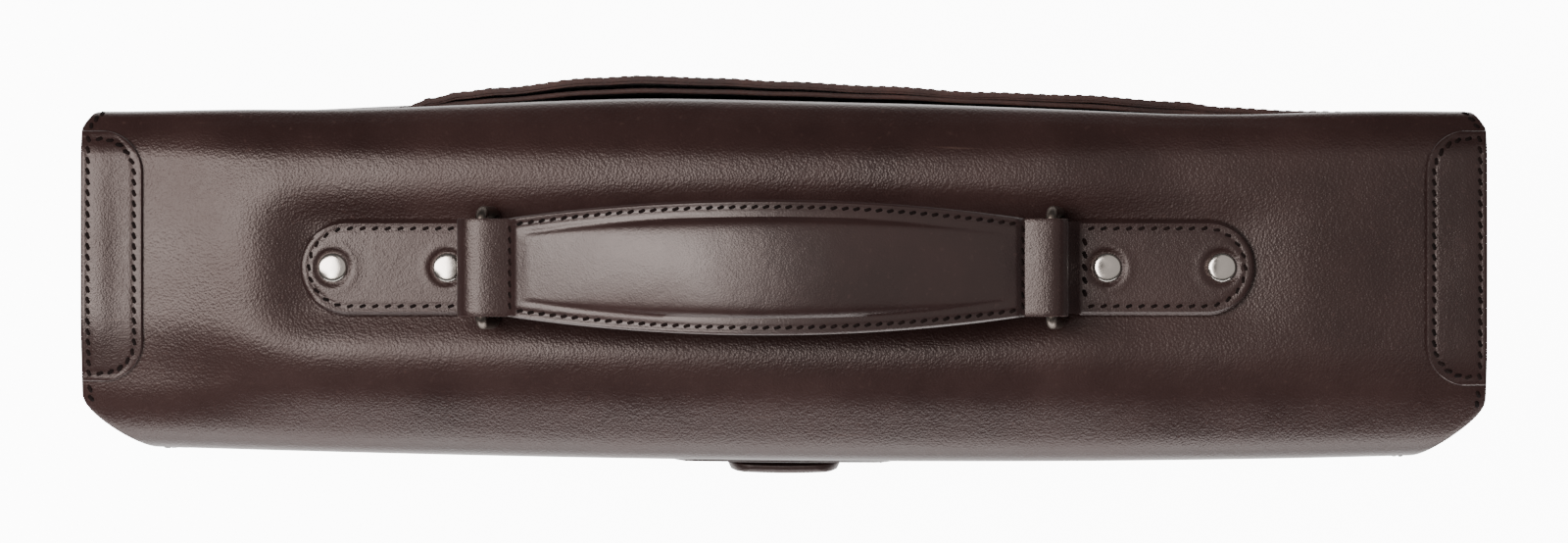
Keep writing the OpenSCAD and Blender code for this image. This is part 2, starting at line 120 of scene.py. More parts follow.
def mixColours(tree, factor, first, second):
    mix = addNode(tree, "ShaderNodeMix", data_type="RGBA")
    tree.links.new(factor, mix.inputs["Factor"])
    for socket, colour in ((mix.inputs[6], first), (mix.inputs[7], second)):
        if hasattr(colour, "is_output"):
            tree.links.new(colour, socket)
        else:
            socket.default_value = (*colour, 1)
    return mix.outputs[2]


def rampOf(tree, factor, low, high, start=0.0, end=1.0):
    # Turns a factor between low and high into start to end
    ramp = {"From Min": low, "From Max": high, "To Min": start, "To Max": end}
    return addNode(tree, "ShaderNodeMapRange", Value=factor, **ramp).outputs[0]


def mathOf(tree, operation, first, second):
    made = addNode(tree, "ShaderNodeMath", operation=operation)
    tree.links.new(first, made.inputs[0])
    tree.links.new(second, made.inputs[1])
    return made.outputs[0]


def leatherMaterial(name, look):
    material, tree, shader = newMaterial(name, look["dark"], look["roughness"])
    place = addNode(tree, "ShaderNodeTexCoord").outputs["Object"]
    mottle = addNode(tree, "ShaderNodeTexNoise", Vector=place, Scale=22, Detail=6, Roughness=0.62)
    speckle = addNode(tree, "ShaderNodeTexNoise", Vector=place, Scale=620, Detail=3)
    tone = mixColours(tree, rampOf(tree, mottle.outputs[0], 0.34, 0.68), look["dark"], look["light"])
    tone = mixColours(tree, rampOf(tree, speckle.outputs[0], 0.62, 0.80), tone, look["fleck"])
    stretched = addNode(tree, "ShaderNodeMapping", Vector=place, Rotation=(0, 0, 0.6), Scale=(30, 420, 30))
    scratch = addNode(tree, "ShaderNodeTexNoise", Vector=stretched.outputs[0], Scale=1, Detail=2)
    patchy = addNode(tree, "ShaderNodeTexNoise", Vector=place, Scale=34, Detail=1)
    scuffed = mathOf(tree, "MULTIPLY", rampOf(tree, scratch.outputs[0], 0.70, 0.82),
                     rampOf(tree, patchy.outputs[0], 0.62, 0.72))
    tone = mixColours(tree, scuffed, tone, look["scuff"])
    tree.links.new(tone, shader.inputs["Base Color"])
    gloss = rampOf(tree, mottle.outputs[0], 0.3, 0.7, look["roughness"] - 0.05, look["roughness"] + 0.07)
    level = addNode(tree, "ShaderNodeSeparateXYZ", Vector=place).outputs["Z"]
    dullness = rampOf(tree, level, look["dullUnder"] - 40 * mm, look["dullUnder"], 0.12, 0.0)
    tree.links.new(mathOf(tree, "ADD", gloss, dullness), shader.inputs["Roughness"])
    grain = addNode(tree, "ShaderNodeTexVoronoi", Vector=place, Scale=look["grainScale"],
                    feature="SMOOTH_F1", Smoothness=0.6)
    pores = addNode(tree, "ShaderNodeTexNoise", Vector=place, Scale=look["grainScale"] * 0.33, Detail=5,
                    Roughness=0.7)
    relief = mathOf(tree, "ADD", grain.outputs["Distance"], pores.outputs[0])
    fine = addNode(tree, "ShaderNodeBump", Height=relief, Strength=look["grain"], Distance=0.25 * mm)
    creased = addNode(tree, "ShaderNodeTexNoise", Vector=place, Scale=95, Detail=4, Roughness=0.6,
                      Distortion=0.8)
    bump = addNode(tree, "ShaderNodeBump", Height=creased.outputs[0], Strength=look["crease"],
                   Distance=1.2 * mm, Normal=fine.outputs[0])
    tree.links.new(bump.outputs[0], shader.inputs["Normal"])
    shader.inputs["Specular Tint"].default_value = (1, 0.88, 0.84, 1)
    shader.inputs["Specular IOR Level"].default_value = look["specular"]
    shader.inputs["Coat Weight"].default_value = look["coat"]
    shader.inputs["Coat Roughness"].default_value = 0.3
    shader.inputs["Sheen Weight"].default_value = 0.06
    shader.inputs["Sheen Roughness"].default_value = 0.5
    return material


def rawMaterial(name, dark, light, scale, strength, roughness):
    # Suede, board, thread and cut edges: a fibrous surface with no gloss
    material, tree, shader = newMaterial(name, dark, roughness)
    place = addNode(tree, "ShaderNodeTexCoord").outputs["Object"]
    fibre = addNode(tree, "ShaderNodeTexNoise", Vector=place, Scale=scale, Detail=6, Roughness=0.7)
    broad = addNode(tree, "ShaderNodeTexNoise", Vector=place, Scale=scale * 0.06, Detail=3)
    uneven = mathOf(tree, "MULTIPLY", fibre.outputs[0], broad.outputs[0])
    tone = mixColours(tree, rampOf(tree, uneven, 0.12, 0.42), dark, light)
    tree.links.new(tone, shader.inputs["Base Color"])
    bump = addNode(tree, "ShaderNodeBump", Height=fibre.outputs[0], Strength=strength, Distance=0.4 * mm)
    tree.links.new(bump.outputs[0], shader.inputs["Normal"])
    return material


def metalMaterial(name, colour, roughness, brushing):
    material, tree, shader = newMaterial(name, colour, roughness, 1.0)
    place = addNode(tree, "ShaderNodeTexCoord").outputs["Object"]
    haze = addNode(tree, "ShaderNodeTexNoise", Vector=place, Scale=240, Detail=4)
    wear = rampOf(tree, haze.outputs[0], 0.3, 0.75, roughness, roughness + 0.14)
    tree.links.new(wear, shader.inputs["Roughness"])
    stretched = addNode(tree, "ShaderNodeMapping", Vector=place, Scale=(60, 3000, 3000))
    lines = addNode(tree, "ShaderNodeTexNoise", Vector=stretched.outputs[0], Scale=1, Detail=2)
    bump = addNode(tree, "ShaderNodeBump", Height=lines.outputs[0], Strength=brushing, Distance=0.05 * mm)
    tree.links.new(bump.outputs[0], shader.inputs["Normal"])
    return material


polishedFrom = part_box("flap_top")[1].z - 22 * mm    # the top is polished by handling, the sides are duller
darkBrown = {
    "dark": (0.022, 0.0092, 0.0086), "light": (0.036, 0.0152, 0.0138), "fleck": (0.050, 0.025, 0.022),
    "scuff": (0.085, 0.048, 0.040), "roughness": 0.33, "grainScale": 1500, "grain": 0.34, "crease": 0.085,
    "coat": 0.06, "specular": 0.5, "dullUnder": polishedFrom,
}
glazedBrown = {
    "dark": (0.021, 0.0090, 0.0085), "light": (0.034, 0.0148, 0.0136), "fleck": (0.045, 0.023, 0.021),
    "scuff": (0.085, 0.046, 0.038), "roughness": 0.32, "grainScale": 1900, "grain": 0.24, "crease": 0.14,
    "coat": 0.10, "specular": 0.5, "dullUnder": polishedFrom,
}
gripBrown = dict(glazedBrown, roughness=0.30, coat=0.42, grain=0.16)
caseBrown = dict(darkBrown, specular=0.36, coat=0.0, crease=0.2)
flapHide = leatherMaterial("brownHide", darkBrown)
caseHide = leatherMaterial("caseHide", caseBrown)
gripHide = leatherMaterial("gripHide", gripBrown)
trimHide = leatherMaterial("glazedHide", glazedBrown)
cutEdge = rawMaterial("burnishedEdge", (0.030, 0.010, 0.008), (0.085, 0.030, 0.022), 1500, 0.5, 0.55)
suede = rawMaterial("brownSuede", (0.085, 0.045, 0.028), (0.17, 0.098, 0.062), 2200, 0.6, 0.95)
thread = rawMaterial("waxedThread", (0.0035, 0.0018, 0.0017), (0.016, 0.0078, 0.0068), 3000, 0.5, 0.7)
thread.node_tree.nodes["Principled BSDF"].inputs["Specular IOR Level"].default_value = 0.12
fibreBoard = rawMaterial("fibreBoard", (0.12, 0.08, 0.05), (0.24, 0.17, 0.11), 900, 0.5, 0.9)
nickel = metalMaterial("satinNickel", (0.66, 0.61, 0.56), 0.13, 0.05)
# The rings get a darker copy of the nickel: painted shade that dims the reflections they catch, not a
# different metal
shadedNickel = metalMaterial("shadedNickel", (0.15, 0.125, 0.11), 0.30, 0.05)
plainSteel = metalMaterial("plainSteel", (0.42, 0.41, 0.40), 0.36, 0.25)
print("materials made")


def deselectAll():
    bpy.ops.object.select_all(action="DESELECT")


def pickOnly(piece):
    deselectAll()
    piece.select_set(True)
    bpy.context.view_layer.objects.active = piece


def editAll(piece, *steps):
    # Runs edit-mode steps on the whole mesh
    pickOnly(piece)
    bpy.ops.object.mode_set(mode="EDIT")
    bpy.ops.mesh.select_all(action="SELECT")
    for step in steps:
        step()
    bpy.ops.object.mode_set(mode="OBJECT")


def applyModifier(piece, kind, **values):
    pickOnly(piece)
    modifier = piece.modifiers.new(kind.title(), kind)
    for name, value in values.items():
        setattr(modifier, name, value)
    bpy.ops.object.modifier_apply(modifier=modifier.name)


def smoothShade(piece, angle=38):
    pickOnly(piece)
    bpy.ops.object.shade_smooth_by_angle(angle=math.radians(angle))


def cutSheet(name, stops, edges, place, across, flip=False):
    # Cuts a piece of leather as a grid: a row at each stop, from edge to edge, laid by place(across, stop)
    deselectAll()
    bpy.ops.mesh.primitive_grid_add(x_subdivisions=across, y_subdivisions=len(stops) - 1, size=2)
    piece = bpy.context.object
    piece.name = name
    for vertex in piece.data.vertices:
        stop = stops[round((vertex.co.y + 1) / 2 * (len(stops) - 1))]
        low, high = edges(stop)
        vertex.co = place(low + (high - low) * (vertex.co.x + 1) / 2, stop)
    editAll(piece, lambda: bpy.ops.mesh.remove_doubles(threshold=0.02 * mm))
    if flip:
        editAll(piece, bpy.ops.mesh.flip_normals)
    return piece


def thicken(piece, thickness, faceHide, edgeHide, bevel=0.3, offset=-1):
    piece.data.materials.append(faceHide)
    piece.data.materials.append(edgeHide)
    applyModifier(piece, "SOLIDIFY", thickness=thickness, offset=offset, use_even_offset=True,
                  material_offset_rim=1)
    applyModifier(piece, "BEVEL", width=min(bevel * thickness, 0.8 * mm), segments=2,
                  limit_method="ANGLE", angle_limit=math.radians(50), material=-1, harden_normals=False)
    smoothShade(piece)
    return piece


def settle(piece, body, nodes=()):
    # A finished piece rides on its body and stands for its CAD nodes
    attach(piece, body)
    if nodes:
        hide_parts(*nodes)
    return piece


def bend(piece, start, end, nodes=()):
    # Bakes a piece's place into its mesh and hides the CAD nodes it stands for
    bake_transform(piece)
    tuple(start)
    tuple(end)
    if nodes:
        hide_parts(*nodes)
    return piece


stitch = {
    "pitch": 3.7 * mm, "length": 2.8 * mm, "width": 1.3 * mm, "height": 0.75 * mm, "slant": 0.42,
    "finePitch": 3.15 * mm,     # on the end patches and the handle
    "taper": 0.45,              # width of a stitch's ends, and how far they dip
    "dip": 0.35,
    "sink": 0.05 * mm,          # how deep a stitch sits in the leather
}


def stitchTemplate():
    # One stitch: a short bead of thread that dips at both ends
    deselectAll()
    bpy.ops.mesh.primitive_cylinder_add(vertices=6, radius=0.5, depth=1, rotation=(0, math.pi / 2, 0))
    bead = bpy.context.object
    bpy.ops.object.transform_apply(rotation=True)
    editAll(bead, lambda: bpy.ops.mesh.bisect(plane_co=(0.25, 0, 0), plane_no=(1, 0, 0)),
            lambda: bpy.ops.mesh.select_all(action="SELECT"),
            lambda: bpy.ops.mesh.bisect(plane_co=(-0.25, 0, 0), plane_no=(1, 0, 0)))
    for vertex in bead.data.vertices:
        end = abs(vertex.co.x) > 0.4
        squeeze = stitch["taper"] if end else 1.0
        vertex.co = Vector((vertex.co.x * stitch["length"], vertex.co.y * stitch["width"] * squeeze,
                            (vertex.co.z * squeeze - (stitch["dip"] if end else 0)) * stitch["height"]))
    points = [vertex.co.copy() for vertex in bead.data.vertices]
    faces = [list(face.vertices) for face in bead.data.polygons]
    bpy.data.objects.remove(bead)
    return points, faces


beadPoints, beadFaces = stitchTemplate()


def along(path, pitch):
    # Points at an even pitch along a path of points, each with the path's direction
    total = sum((b - a).length for a, b in zip(path, path[1:]))
    count = max(1, round(total / pitch))
    step, walked, wanted, found = total / count, 0.0, total / count / 2, []
    for a, b in zip(path, path[1:]):
        run = (b - a).length
        while wanted <= walked + run + 1e-9 and len(found) < count and run > 0:
            found.append((a.lerp(b, (wanted - walked) / run), (b - a).normalized()))
            wanted += step
        walked += run
    return found


def sew(name, place, rows, flip=False, pitch=None):
    # Stitches along rows of pattern points, on the surface that place(across, stop) gives
    points, faces = [], []
    tiny = 0.2 * mm
    for row in rows:
        for middle, heading in along([Vector((a, b, 0)) for a, b in row], pitch or stitch["pitch"]):
            a, b = middle.x, middle.y
            here = place(a, b)
            side, ahead = place(a + tiny, b) - here, place(a, b + tiny) - here
            normal = side.cross(ahead).normalized() * (-1 if flip else 1)
            forward = (side * heading.x + ahead * heading.y).normalized()
            forward = Matrix.Rotation(stitch["slant"], 3, normal) @ forward
            sideways = normal.cross(forward).normalized()
            turn = Matrix((forward, sideways, normal)).transposed()
            base = len(points)
            points += [here - normal * stitch["sink"] + turn @ p for p in beadPoints]
            faces += [[base + i for i in face] for face in beadFaces]
    mesh = bpy.data.meshes.new(name)
    mesh.from_pydata(points, [], faces)
    seam = bpy.data.objects.new(name, mesh)
    bpy.context.scene.collection.objects.link(seam)
    seam.data.materials.append(thread)
    smoothShade(seam, 60)
    return seam


def mirrored(points):
    # A row of points on the right, carried on to its mirror image on the left
    return points + [(-a, b) for a, b in reversed(points)]


def fromCad(node, material, bevel=0.0):
    # A smooth copy of a CAD node, with its own finish
    deselectAll()
    source = frame["nodes"][node]
    piece = bpy.data.objects.new(node + "_finished", source.data.copy())
    bpy.context.scene.collection.objects.link(piece)
    piece.data.materials.clear()
    piece.data.materials.append(material)
    editAll(piece, lambda: bpy.ops.mesh.remove_doubles(threshold=0.005 * mm),
            lambda: bpy.ops.mesh.dissolve_limited(angle_limit=math.radians(0.5)))
    if bevel:
        applyModifier(piece, "BEVEL", width=bevel, segments=2, limit_method="ANGLE",
                      angle_limit=math.radians(40))
    smoothShade(piece, 30)
    return piece


# The flap is one hide over the top and down the front
topLow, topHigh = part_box("flap_top")
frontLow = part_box("flap_front")[0]
backLow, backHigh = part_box("back_panel")
flap = {
    "backFold": 10 * mm,        # radius of the fold at the back
    "frontFold": 20 * mm,
    "hide": 2.4 * mm,           # thickness of the leather
    "lining": 0.7 * mm,
    "frontHalf": 183.5 * mm,    # half width of the flap's front
    "backHalf": 200 * mm,       # half width at the back fold
    "cornerRadius": 40 * mm,
    "seam": 2 * mm,             # where the back hide ends and the flap's begins, past the hinge
    "swell": 7.2 * mm,          # rise of the leather beside the steel bar
    "swellPast": 20 * mm,       # how far the rise runs on past the flat of the top
    "heldEnds": 20 * mm,        # how softly the leather rises from the tabs: past their left end,
    "heldRightEnd": 24 * mm,    # past their right end and beside them
    "heldSides": 12 * mm,
    "looseness": 0.55 * mm,     # depth of the unevenness
    "seamInset": 2.3 * mm,      # stitch rows, from the cut edge
    "backTurn": 8 * mm,         # where the top starts to turn down, before each fold,
    "backDrop": 2.9 * mm,       # and how far it sinks there
    "frontTurn": 12 * mm,
    "frontDrop": 3.2 * mm,
    "narrowFrom": 4.5 * mm,     # where the front fold's ends are cut, past the start of the fold
    "narrowTo": 36 * mm,
    # The share of the rise that is lost towards each end, and from where to where
    "sinksLeft": ((0.9, 146 * mm, 190 * mm),),
    "sinksRight": ((0.5, 78 * mm, 118 * mm), (0.4, 130 * mm, 190 * mm)),
    "arch": 0.35,               # share that is lost little by little from the middle to both ends
    "flareLeft": 0.8 * mm,      # how far the cut ends turn up
    "flareRight": 0.25 * mm,
    "frontOut": 2.9 * mm,       # how far the front fold stands out in its middle,
    "frontDrawn": 2.7 * mm,     # how much less at its ends,
    "frontLean": 1.3 * mm,      # and how much more on the right than on the left
    "frontWaver": 0.8 * mm,     # depth of the unevenness down the front
}
back = {
    "pull": 3.4 * mm,           # how far the back is drawn in towards its ends,
    "pullAtMouth": 1.9 * mm,    # more beside the pocket's mouth
    "pullAtEnds": 0.7 * mm,     # and at the very ends
    "mouthHeight": 246 * mm,
    "upperInset": 0.5 * mm,     # drawn in above the pocket, and more on the right
    "upperInsetRight": 1.9 * mm,
}
topZ, frontY, backY = topHigh.z, topLow.y, topHigh.y
hingeZ = topZ - flap["backFold"]
backArc = flap["backFold"] * math.pi / 2
flatRun = (backY - flap["backFold"]) - (frontY + flap["frontFold"])
frontArc = flap["frontFold"] * math.pi / 2
foldStart = backArc + flatRun
foldEnd = foldStart + frontArc
flapEnd = foldEnd + (topZ - flap["frontFold"]) - frontLow.z

tabBox = [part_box("tab_left"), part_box("tab_right")]
handleX = (tabBox[0][0].x + tabBox[1][1].x) / 2
handleY = (tabBox[0][0].y + tabBox[0][1].y) / 2
tabReach = (tabBox[1][1].x - tabBox[0][0].x) / 2
tabHalf = (tabBox[0][1].y - tabBox[0][0].y) / 2


def flapProfile(s):
    # s runs along the leather from the hinge, over the top and down the front
    if s < 0:
        return backY, hingeZ + s, 1.0, 0.0
    if s < backArc:
        turn = s / flap["backFold"]
        return (backY - flap["backFold"] * (1 - math.cos(turn)), hingeZ + flap["backFold"] * math.sin(turn),
                math.cos(turn), math.sin(turn))
    if s < foldStart:
        return backY - flap["backFold"] - (s - backArc), topZ, 0.0, 1.0
    if s < foldEnd:
        turn = (s - foldStart) / flap["frontFold"]
        return (frontY + flap["frontFold"] * (1 - math.sin(turn)),
                topZ - flap["frontFold"] * (1 - math.cos(turn)), -math.sin(turn), math.cos(turn))
    return frontY, topZ - flap["frontFold"] - (s - foldEnd), -1.0, 0.0


def swell(x, s):
    # The leather rises round the steel bar under the handle and sinks to the ends
    middle, half = backArc + flatRun / 2, flatRun / 2 + flap["swellPast"]
    q = min(1.0, abs(s - middle) / half)
    crown = (1 - q * q) ** 2
    ends = 1 - sum(share * smooth(-x, start, end) for share, start, end in flap["sinksLeft"])
    ends -= sum(share * smooth(x, start, end) for share, start, end in flap["sinksRight"])
    y = backY - flap["backFold"] - (s - backArc)
    easing = flap["heldEnds"] if x < handleX else flap["heldRightEnd"]
    beyond = math.hypot(max(0.0, abs(x - handleX) - tabReach + 8 * mm) / easing,
                        max(0.0, abs(y - handleY) - tabHalf + 3.5 * mm) / flap["heldSides"])
    held = math.exp(-beyond * beyond)
    loose = waver((x, s * 1.6, 0.3), 46 * mm, flap["looseness"]) * crown * (1 - held)
    arched = 1 - flap["arch"] * (x / topHigh.x) ** 2
    flare = (flap["flareLeft"] if x < 0 else flap["flareRight"]) * smooth(abs(x), 192 * mm, 202 * mm) * crown
    return flap["swell"] * crown * ends * arched * (1 - held) + loose + flare


def wave(value, start, end):
    # Rises from 0 at start to 1 half way and falls back to 0 at end
    t = min(1.0, max(0.0, (value - start) / (end - start)))
    return math.sin(math.pi * t) ** 2


def shoulder(x, s):
    # The top starts to turn down before each fold is reached
    turn = flap["frontTurn"] + 9 * mm * smooth(-x, 130 * mm, 185 * mm)
    return (flap["backDrop"] * wave(s, 0, backArc + flap["backTurn"])
            + flap["frontDrop"] * wave(s, foldStart - turn, foldEnd))


def backPull(x, z):
    # The back is drawn in towards its ends, most of all at the pocket's mouth
    amount = back["pull"] + back["pullAtMouth"] * hill(z, back["mouthHeight"], 26 * mm)
    amount += back["pullAtEnds"] * smooth(abs(x), 150 * mm, 200 * mm)
    amount *= smooth(abs(x), 30 * mm, 150 * mm) * smooth(z, 20 * mm, 190 * mm)
    inset = back["upperInset"] + back["upperInsetRight"] * smooth(x, -50 * mm, 65 * mm)
    inset *= 1 - smooth(abs(x), 110 * mm, 190 * mm)
    amount += inset * smooth(z, 225 * mm, 285 * mm)
    return amount * (1 - smooth(z, topZ - 9 * mm, topZ - 0.5 * mm))


def frontPush(x, s):
    # The front fold stands out in the middle and is drawn in at its ends
    ease = smooth(s, foldStart - 26 * mm, foldEnd - 4 * mm)
    if s > foldEnd:
        ease = hill(s, foldEnd, 34 * mm)
    share = x / flap["frontHalf"]
    lean = flap["frontLean"] * math.sin(share * 1.4)
    return (flap["frontOut"] - flap["frontDrawn"] * share * share + lean) * ease


def flapPoint(x, s, lift=0.0):
    y, z, outY, outZ = flapProfile(s)
    out = lift + swell(x, s) - shoulder(x, s)
    y += outY * out
    z += outZ * out
    y -= frontPush(x, s) + (backPull(x, z) if s < backArc + 2 * mm else 0.0)
    if s > foldEnd:
        y -= abs(waver((x, z, 0.7), 90 * mm, flap["frontWaver"])) * smooth(s, foldEnd, foldEnd + 40 * mm)
    return Vector((x, y, z))


def flapHalf(s):
    # Half the width of the leather at s
    half = topHigh.x - (topHigh.x - flap["backHalf"]) * (1 - smooth(s, -2 * mm, backArc))
    half -= (topHigh.x - flap["frontHalf"]) * smooth(s - foldStart, flap["narrowFrom"], flap["narrowTo"])
    return half - rounding(flapEnd - s, flap["cornerRadius"])


def atY(y):
    # Where y lies along the flat of the top
    return backArc + (backY - flap["backFold"] - y)


flapBend = {"start": (0, frontY, topZ - 8 * mm), "end": (0, frontY, topZ - 34 * mm)}
cornerStart = flapEnd - flap["cornerRadius"]
cornerStops = [flapEnd - flap["cornerRadius"] * (1 - math.sin(t * math.pi / 2)) for t in spread(0, 1, 14)]
flapStops = chain((flap["seam"], backArc, 8), (backArc, foldStart, 34), (foldStart, foldEnd, 18),
                  (foldEnd, cornerStart, 44))[:-1] + cornerStops
flapHideSheet = cutSheet("flap_hide", flapStops, lambda s: (-flapHalf(s), flapHalf(s)), flapPoint, 150,
                         flip=True)
thicken(flapHideSheet, flap["hide"], flapHide, cutEdge)
bend(flapHideSheet, flapBend["start"], flapBend["end"],
     ["flap_top", "flap_front"])


def liningPoint(x, s):
    return flapPoint(x, s, -flap["hide"])


def liningEdges(s):
    half = flapHalf(s + liningInset) - liningInset
    return -half, half


liningInset = 5 * mm
liningStops = [min(s, flapEnd - liningInset) for s in flapStops[8:]]
liningSheet = cutSheet("flap_lining", liningStops, liningEdges, liningPoint, 120, flip=True)
thicken(liningSheet, flap["lining"], suede, suede)
bend(liningSheet, flapBend["start"], flapBend["end"],
     ["flap_top_lining", "flap_front_lining"])


patchY = [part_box("end_patch_left")[0].y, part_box("end_patch_left")[1].y]


def flapSeams():
    # Short rows behind and in front of the end patches, and one long row round the front
    inset, outerInset = flap["seamInset"], flap["seamInset"] + 1 * mm
    behind = spread(3 * mm, atY(patchY[1]) - 1 * mm, 12)
    before = spread(atY(patchY[0]) + 1 * mm, foldStart + 8 * mm, 16)
    rows = [[(side * (flapHalf(s) - inset), s) for s in run] for side in (-1, 1) for run in (behind, before)]
    edge = [(flapHalf(s) - outerInset, s) for s in spread(foldEnd - 2 * mm, cornerStart, 30)]
    reach = flap["cornerRadius"] - outerInset
    cornerX = flap["frontHalf"] - flap["cornerRadius"]
    bow = [(cornerX + reach * math.cos(t), cornerStart + reach * math.sin(t))
           for t in spread(0, math.pi / 2, 16)]
    rows.append(mirrored(edge + bow))
    return rows


bend(sew("flap_stitches", flapPoint, flapSeams(), flip=True),
     flapBend["start"], flapBend["end"])
print("flap made")


def backPoint(x, s):
    point = flapPoint(x, s)
    z = point.z
    if s < -20 * mm:
        point.y -= 0.5 * mm * abs(waver((x, z, 4.1), 120 * mm, 1.0))
    return point


def backHalf(s):
    return flapHalf(s) - (flap["backHalf"] - backHigh.x) * (1 - smooth(s, -30 * mm, -4 * mm))


backEnd = backLow.z - hingeZ
backBend = {"start": (0, backY, hingeZ - 8 * mm), "end": (0, backY, hingeZ + 1.5 * mm)}
backStops = chain((flap["seam"], -12 * mm, 14), (-12 * mm, -60 * mm, 16), (-60 * mm, backEnd, 50))
backSheet = cutSheet("back_hide", backStops, lambda s: (-backHalf(s), backHalf(s)), backPoint, 132)
thicken(backSheet, flap["hide"], flapHide, cutEdge)
bend(backSheet, backBend["start"], backBend["end"], ["back_panel"])
backRows = [[(side * (backHalf(s) - 4 * mm), s) for s in spread(-18 * mm, backEnd + 4 * mm, 40)]
            for side in (-1, 1)]
backRows.append([(x, backEnd + 4 * mm) for x in spread(-backHigh.x + 6 * mm, backHigh.x - 6 * mm, 60)])
settle(sew("back_stitches", backPoint, backRows), "case")
print("back made")

patch = {
    "thick": 1.5 * mm, "radius": 12.5 * mm,
    "inset": 2.5 * mm,          # the stitched row, from the inner edge and from the flap's own edge
    "outerInset": 2.1 * mm,
    "sunk": 0.17 * mm,          # how far the stitches pull the leather down
    "puff": 0.10 * mm,
}


def makePatch(side, name, node):
    low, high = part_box(node)
    outer, inner = topHigh.x - 0.2 * mm, min(abs(low.x), abs(high.x)) - 1.6 * mm
    first, last = atY(high.y), atY(low.y)

    def innerEdge(s):
        return inner + rounding(min(s - first, last - s), patch["radius"])

    def place(x, s):
        inside = min(s - first, last - s, x - innerEdge(s))
        sewn = max(hill(inside, patch["inset"], 0.7 * mm), hill(outer - x, patch["outerInset"], 0.7 * mm))
        edge = 0.7 * rounding(inside, 0.8 * mm) + 0.4 * rounding(outer - x, 0.8 * mm)
        puff = patch["puff"] * smooth(min(inside, outer - x), 2.5 * mm, 7 * mm)
        return flapPoint(side * x, s, patch["thick"] - edge - patch["sunk"] * sewn + puff)

    stops = roundedStops(first, last, patch["radius"], 14, 44)
    sheet = cutSheet(name, stops, lambda s: (innerEdge(s), outer), place, 36, flip=side > 0)
    thicken(sheet, patch["thick"] + 0.2 * mm, trimHide, cutEdge, bevel=0.15)
    settle(sheet, "flap_top", [node])
    reach = patch["radius"] - patch["inset"]
    cornerX = inner + patch["radius"]
    bow = [(cornerX - reach * math.cos(t), first + patch["radius"] - reach * math.sin(t))
           for t in spread(math.pi / 2, 0, 12)]
    start = [(outer - patch["outerInset"] - 1.6 * mm, first + patch["inset"])]
    straight = [(inner + patch["inset"], s)
                for s in spread(first + patch["radius"], last - patch["radius"], 30)]
    row = start + bow + straight + [(x, first + last - s) for x, s in reversed(start + bow)]
    rim = [(outer - patch["outerInset"], s) for s in spread(first + 1 * mm, last - 1 * mm, 40)]
    seam = sew(name + "_stitches", place, [row, rim], flip=side > 0, pitch=stitch["finePitch"])
    settle(seam, "flap_top")


makePatch(-1, "patch_left", "end_patch_left")
makePatch(1, "patch_right", "end_patch_right")
print("patches made")

tab = {
    "layer": 1.6 * mm,          # thickness of one layer of its leather
    "bore": 2.0 * mm,           # inner radius of the loop round the ring
    "inset": 2.1 * mm,
    "dimple": 0.5 * mm,         # depth of the seat round each rivet
    "crossRow": 7.3 * mm,
}
rivet = {"radius": 4.2 * mm, "near": 13.8 * mm, "pitch": 33.4 * mm}
rivetPlaces = (rivet["near"], rivet["near"] + rivet["pitch"])
ring = {"span": 164.4 * mm, "wireRadius": 1.7 * mm, "height": 14 * mm, "lean": math.radians(13)}
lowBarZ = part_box("ring_right")[0].z + ring["wireRadius"]
highBarZ = lowBarZ + ring["height"] * math.cos(ring["lean"])
leanX = -ring["height"] * math.sin(ring["lean"])


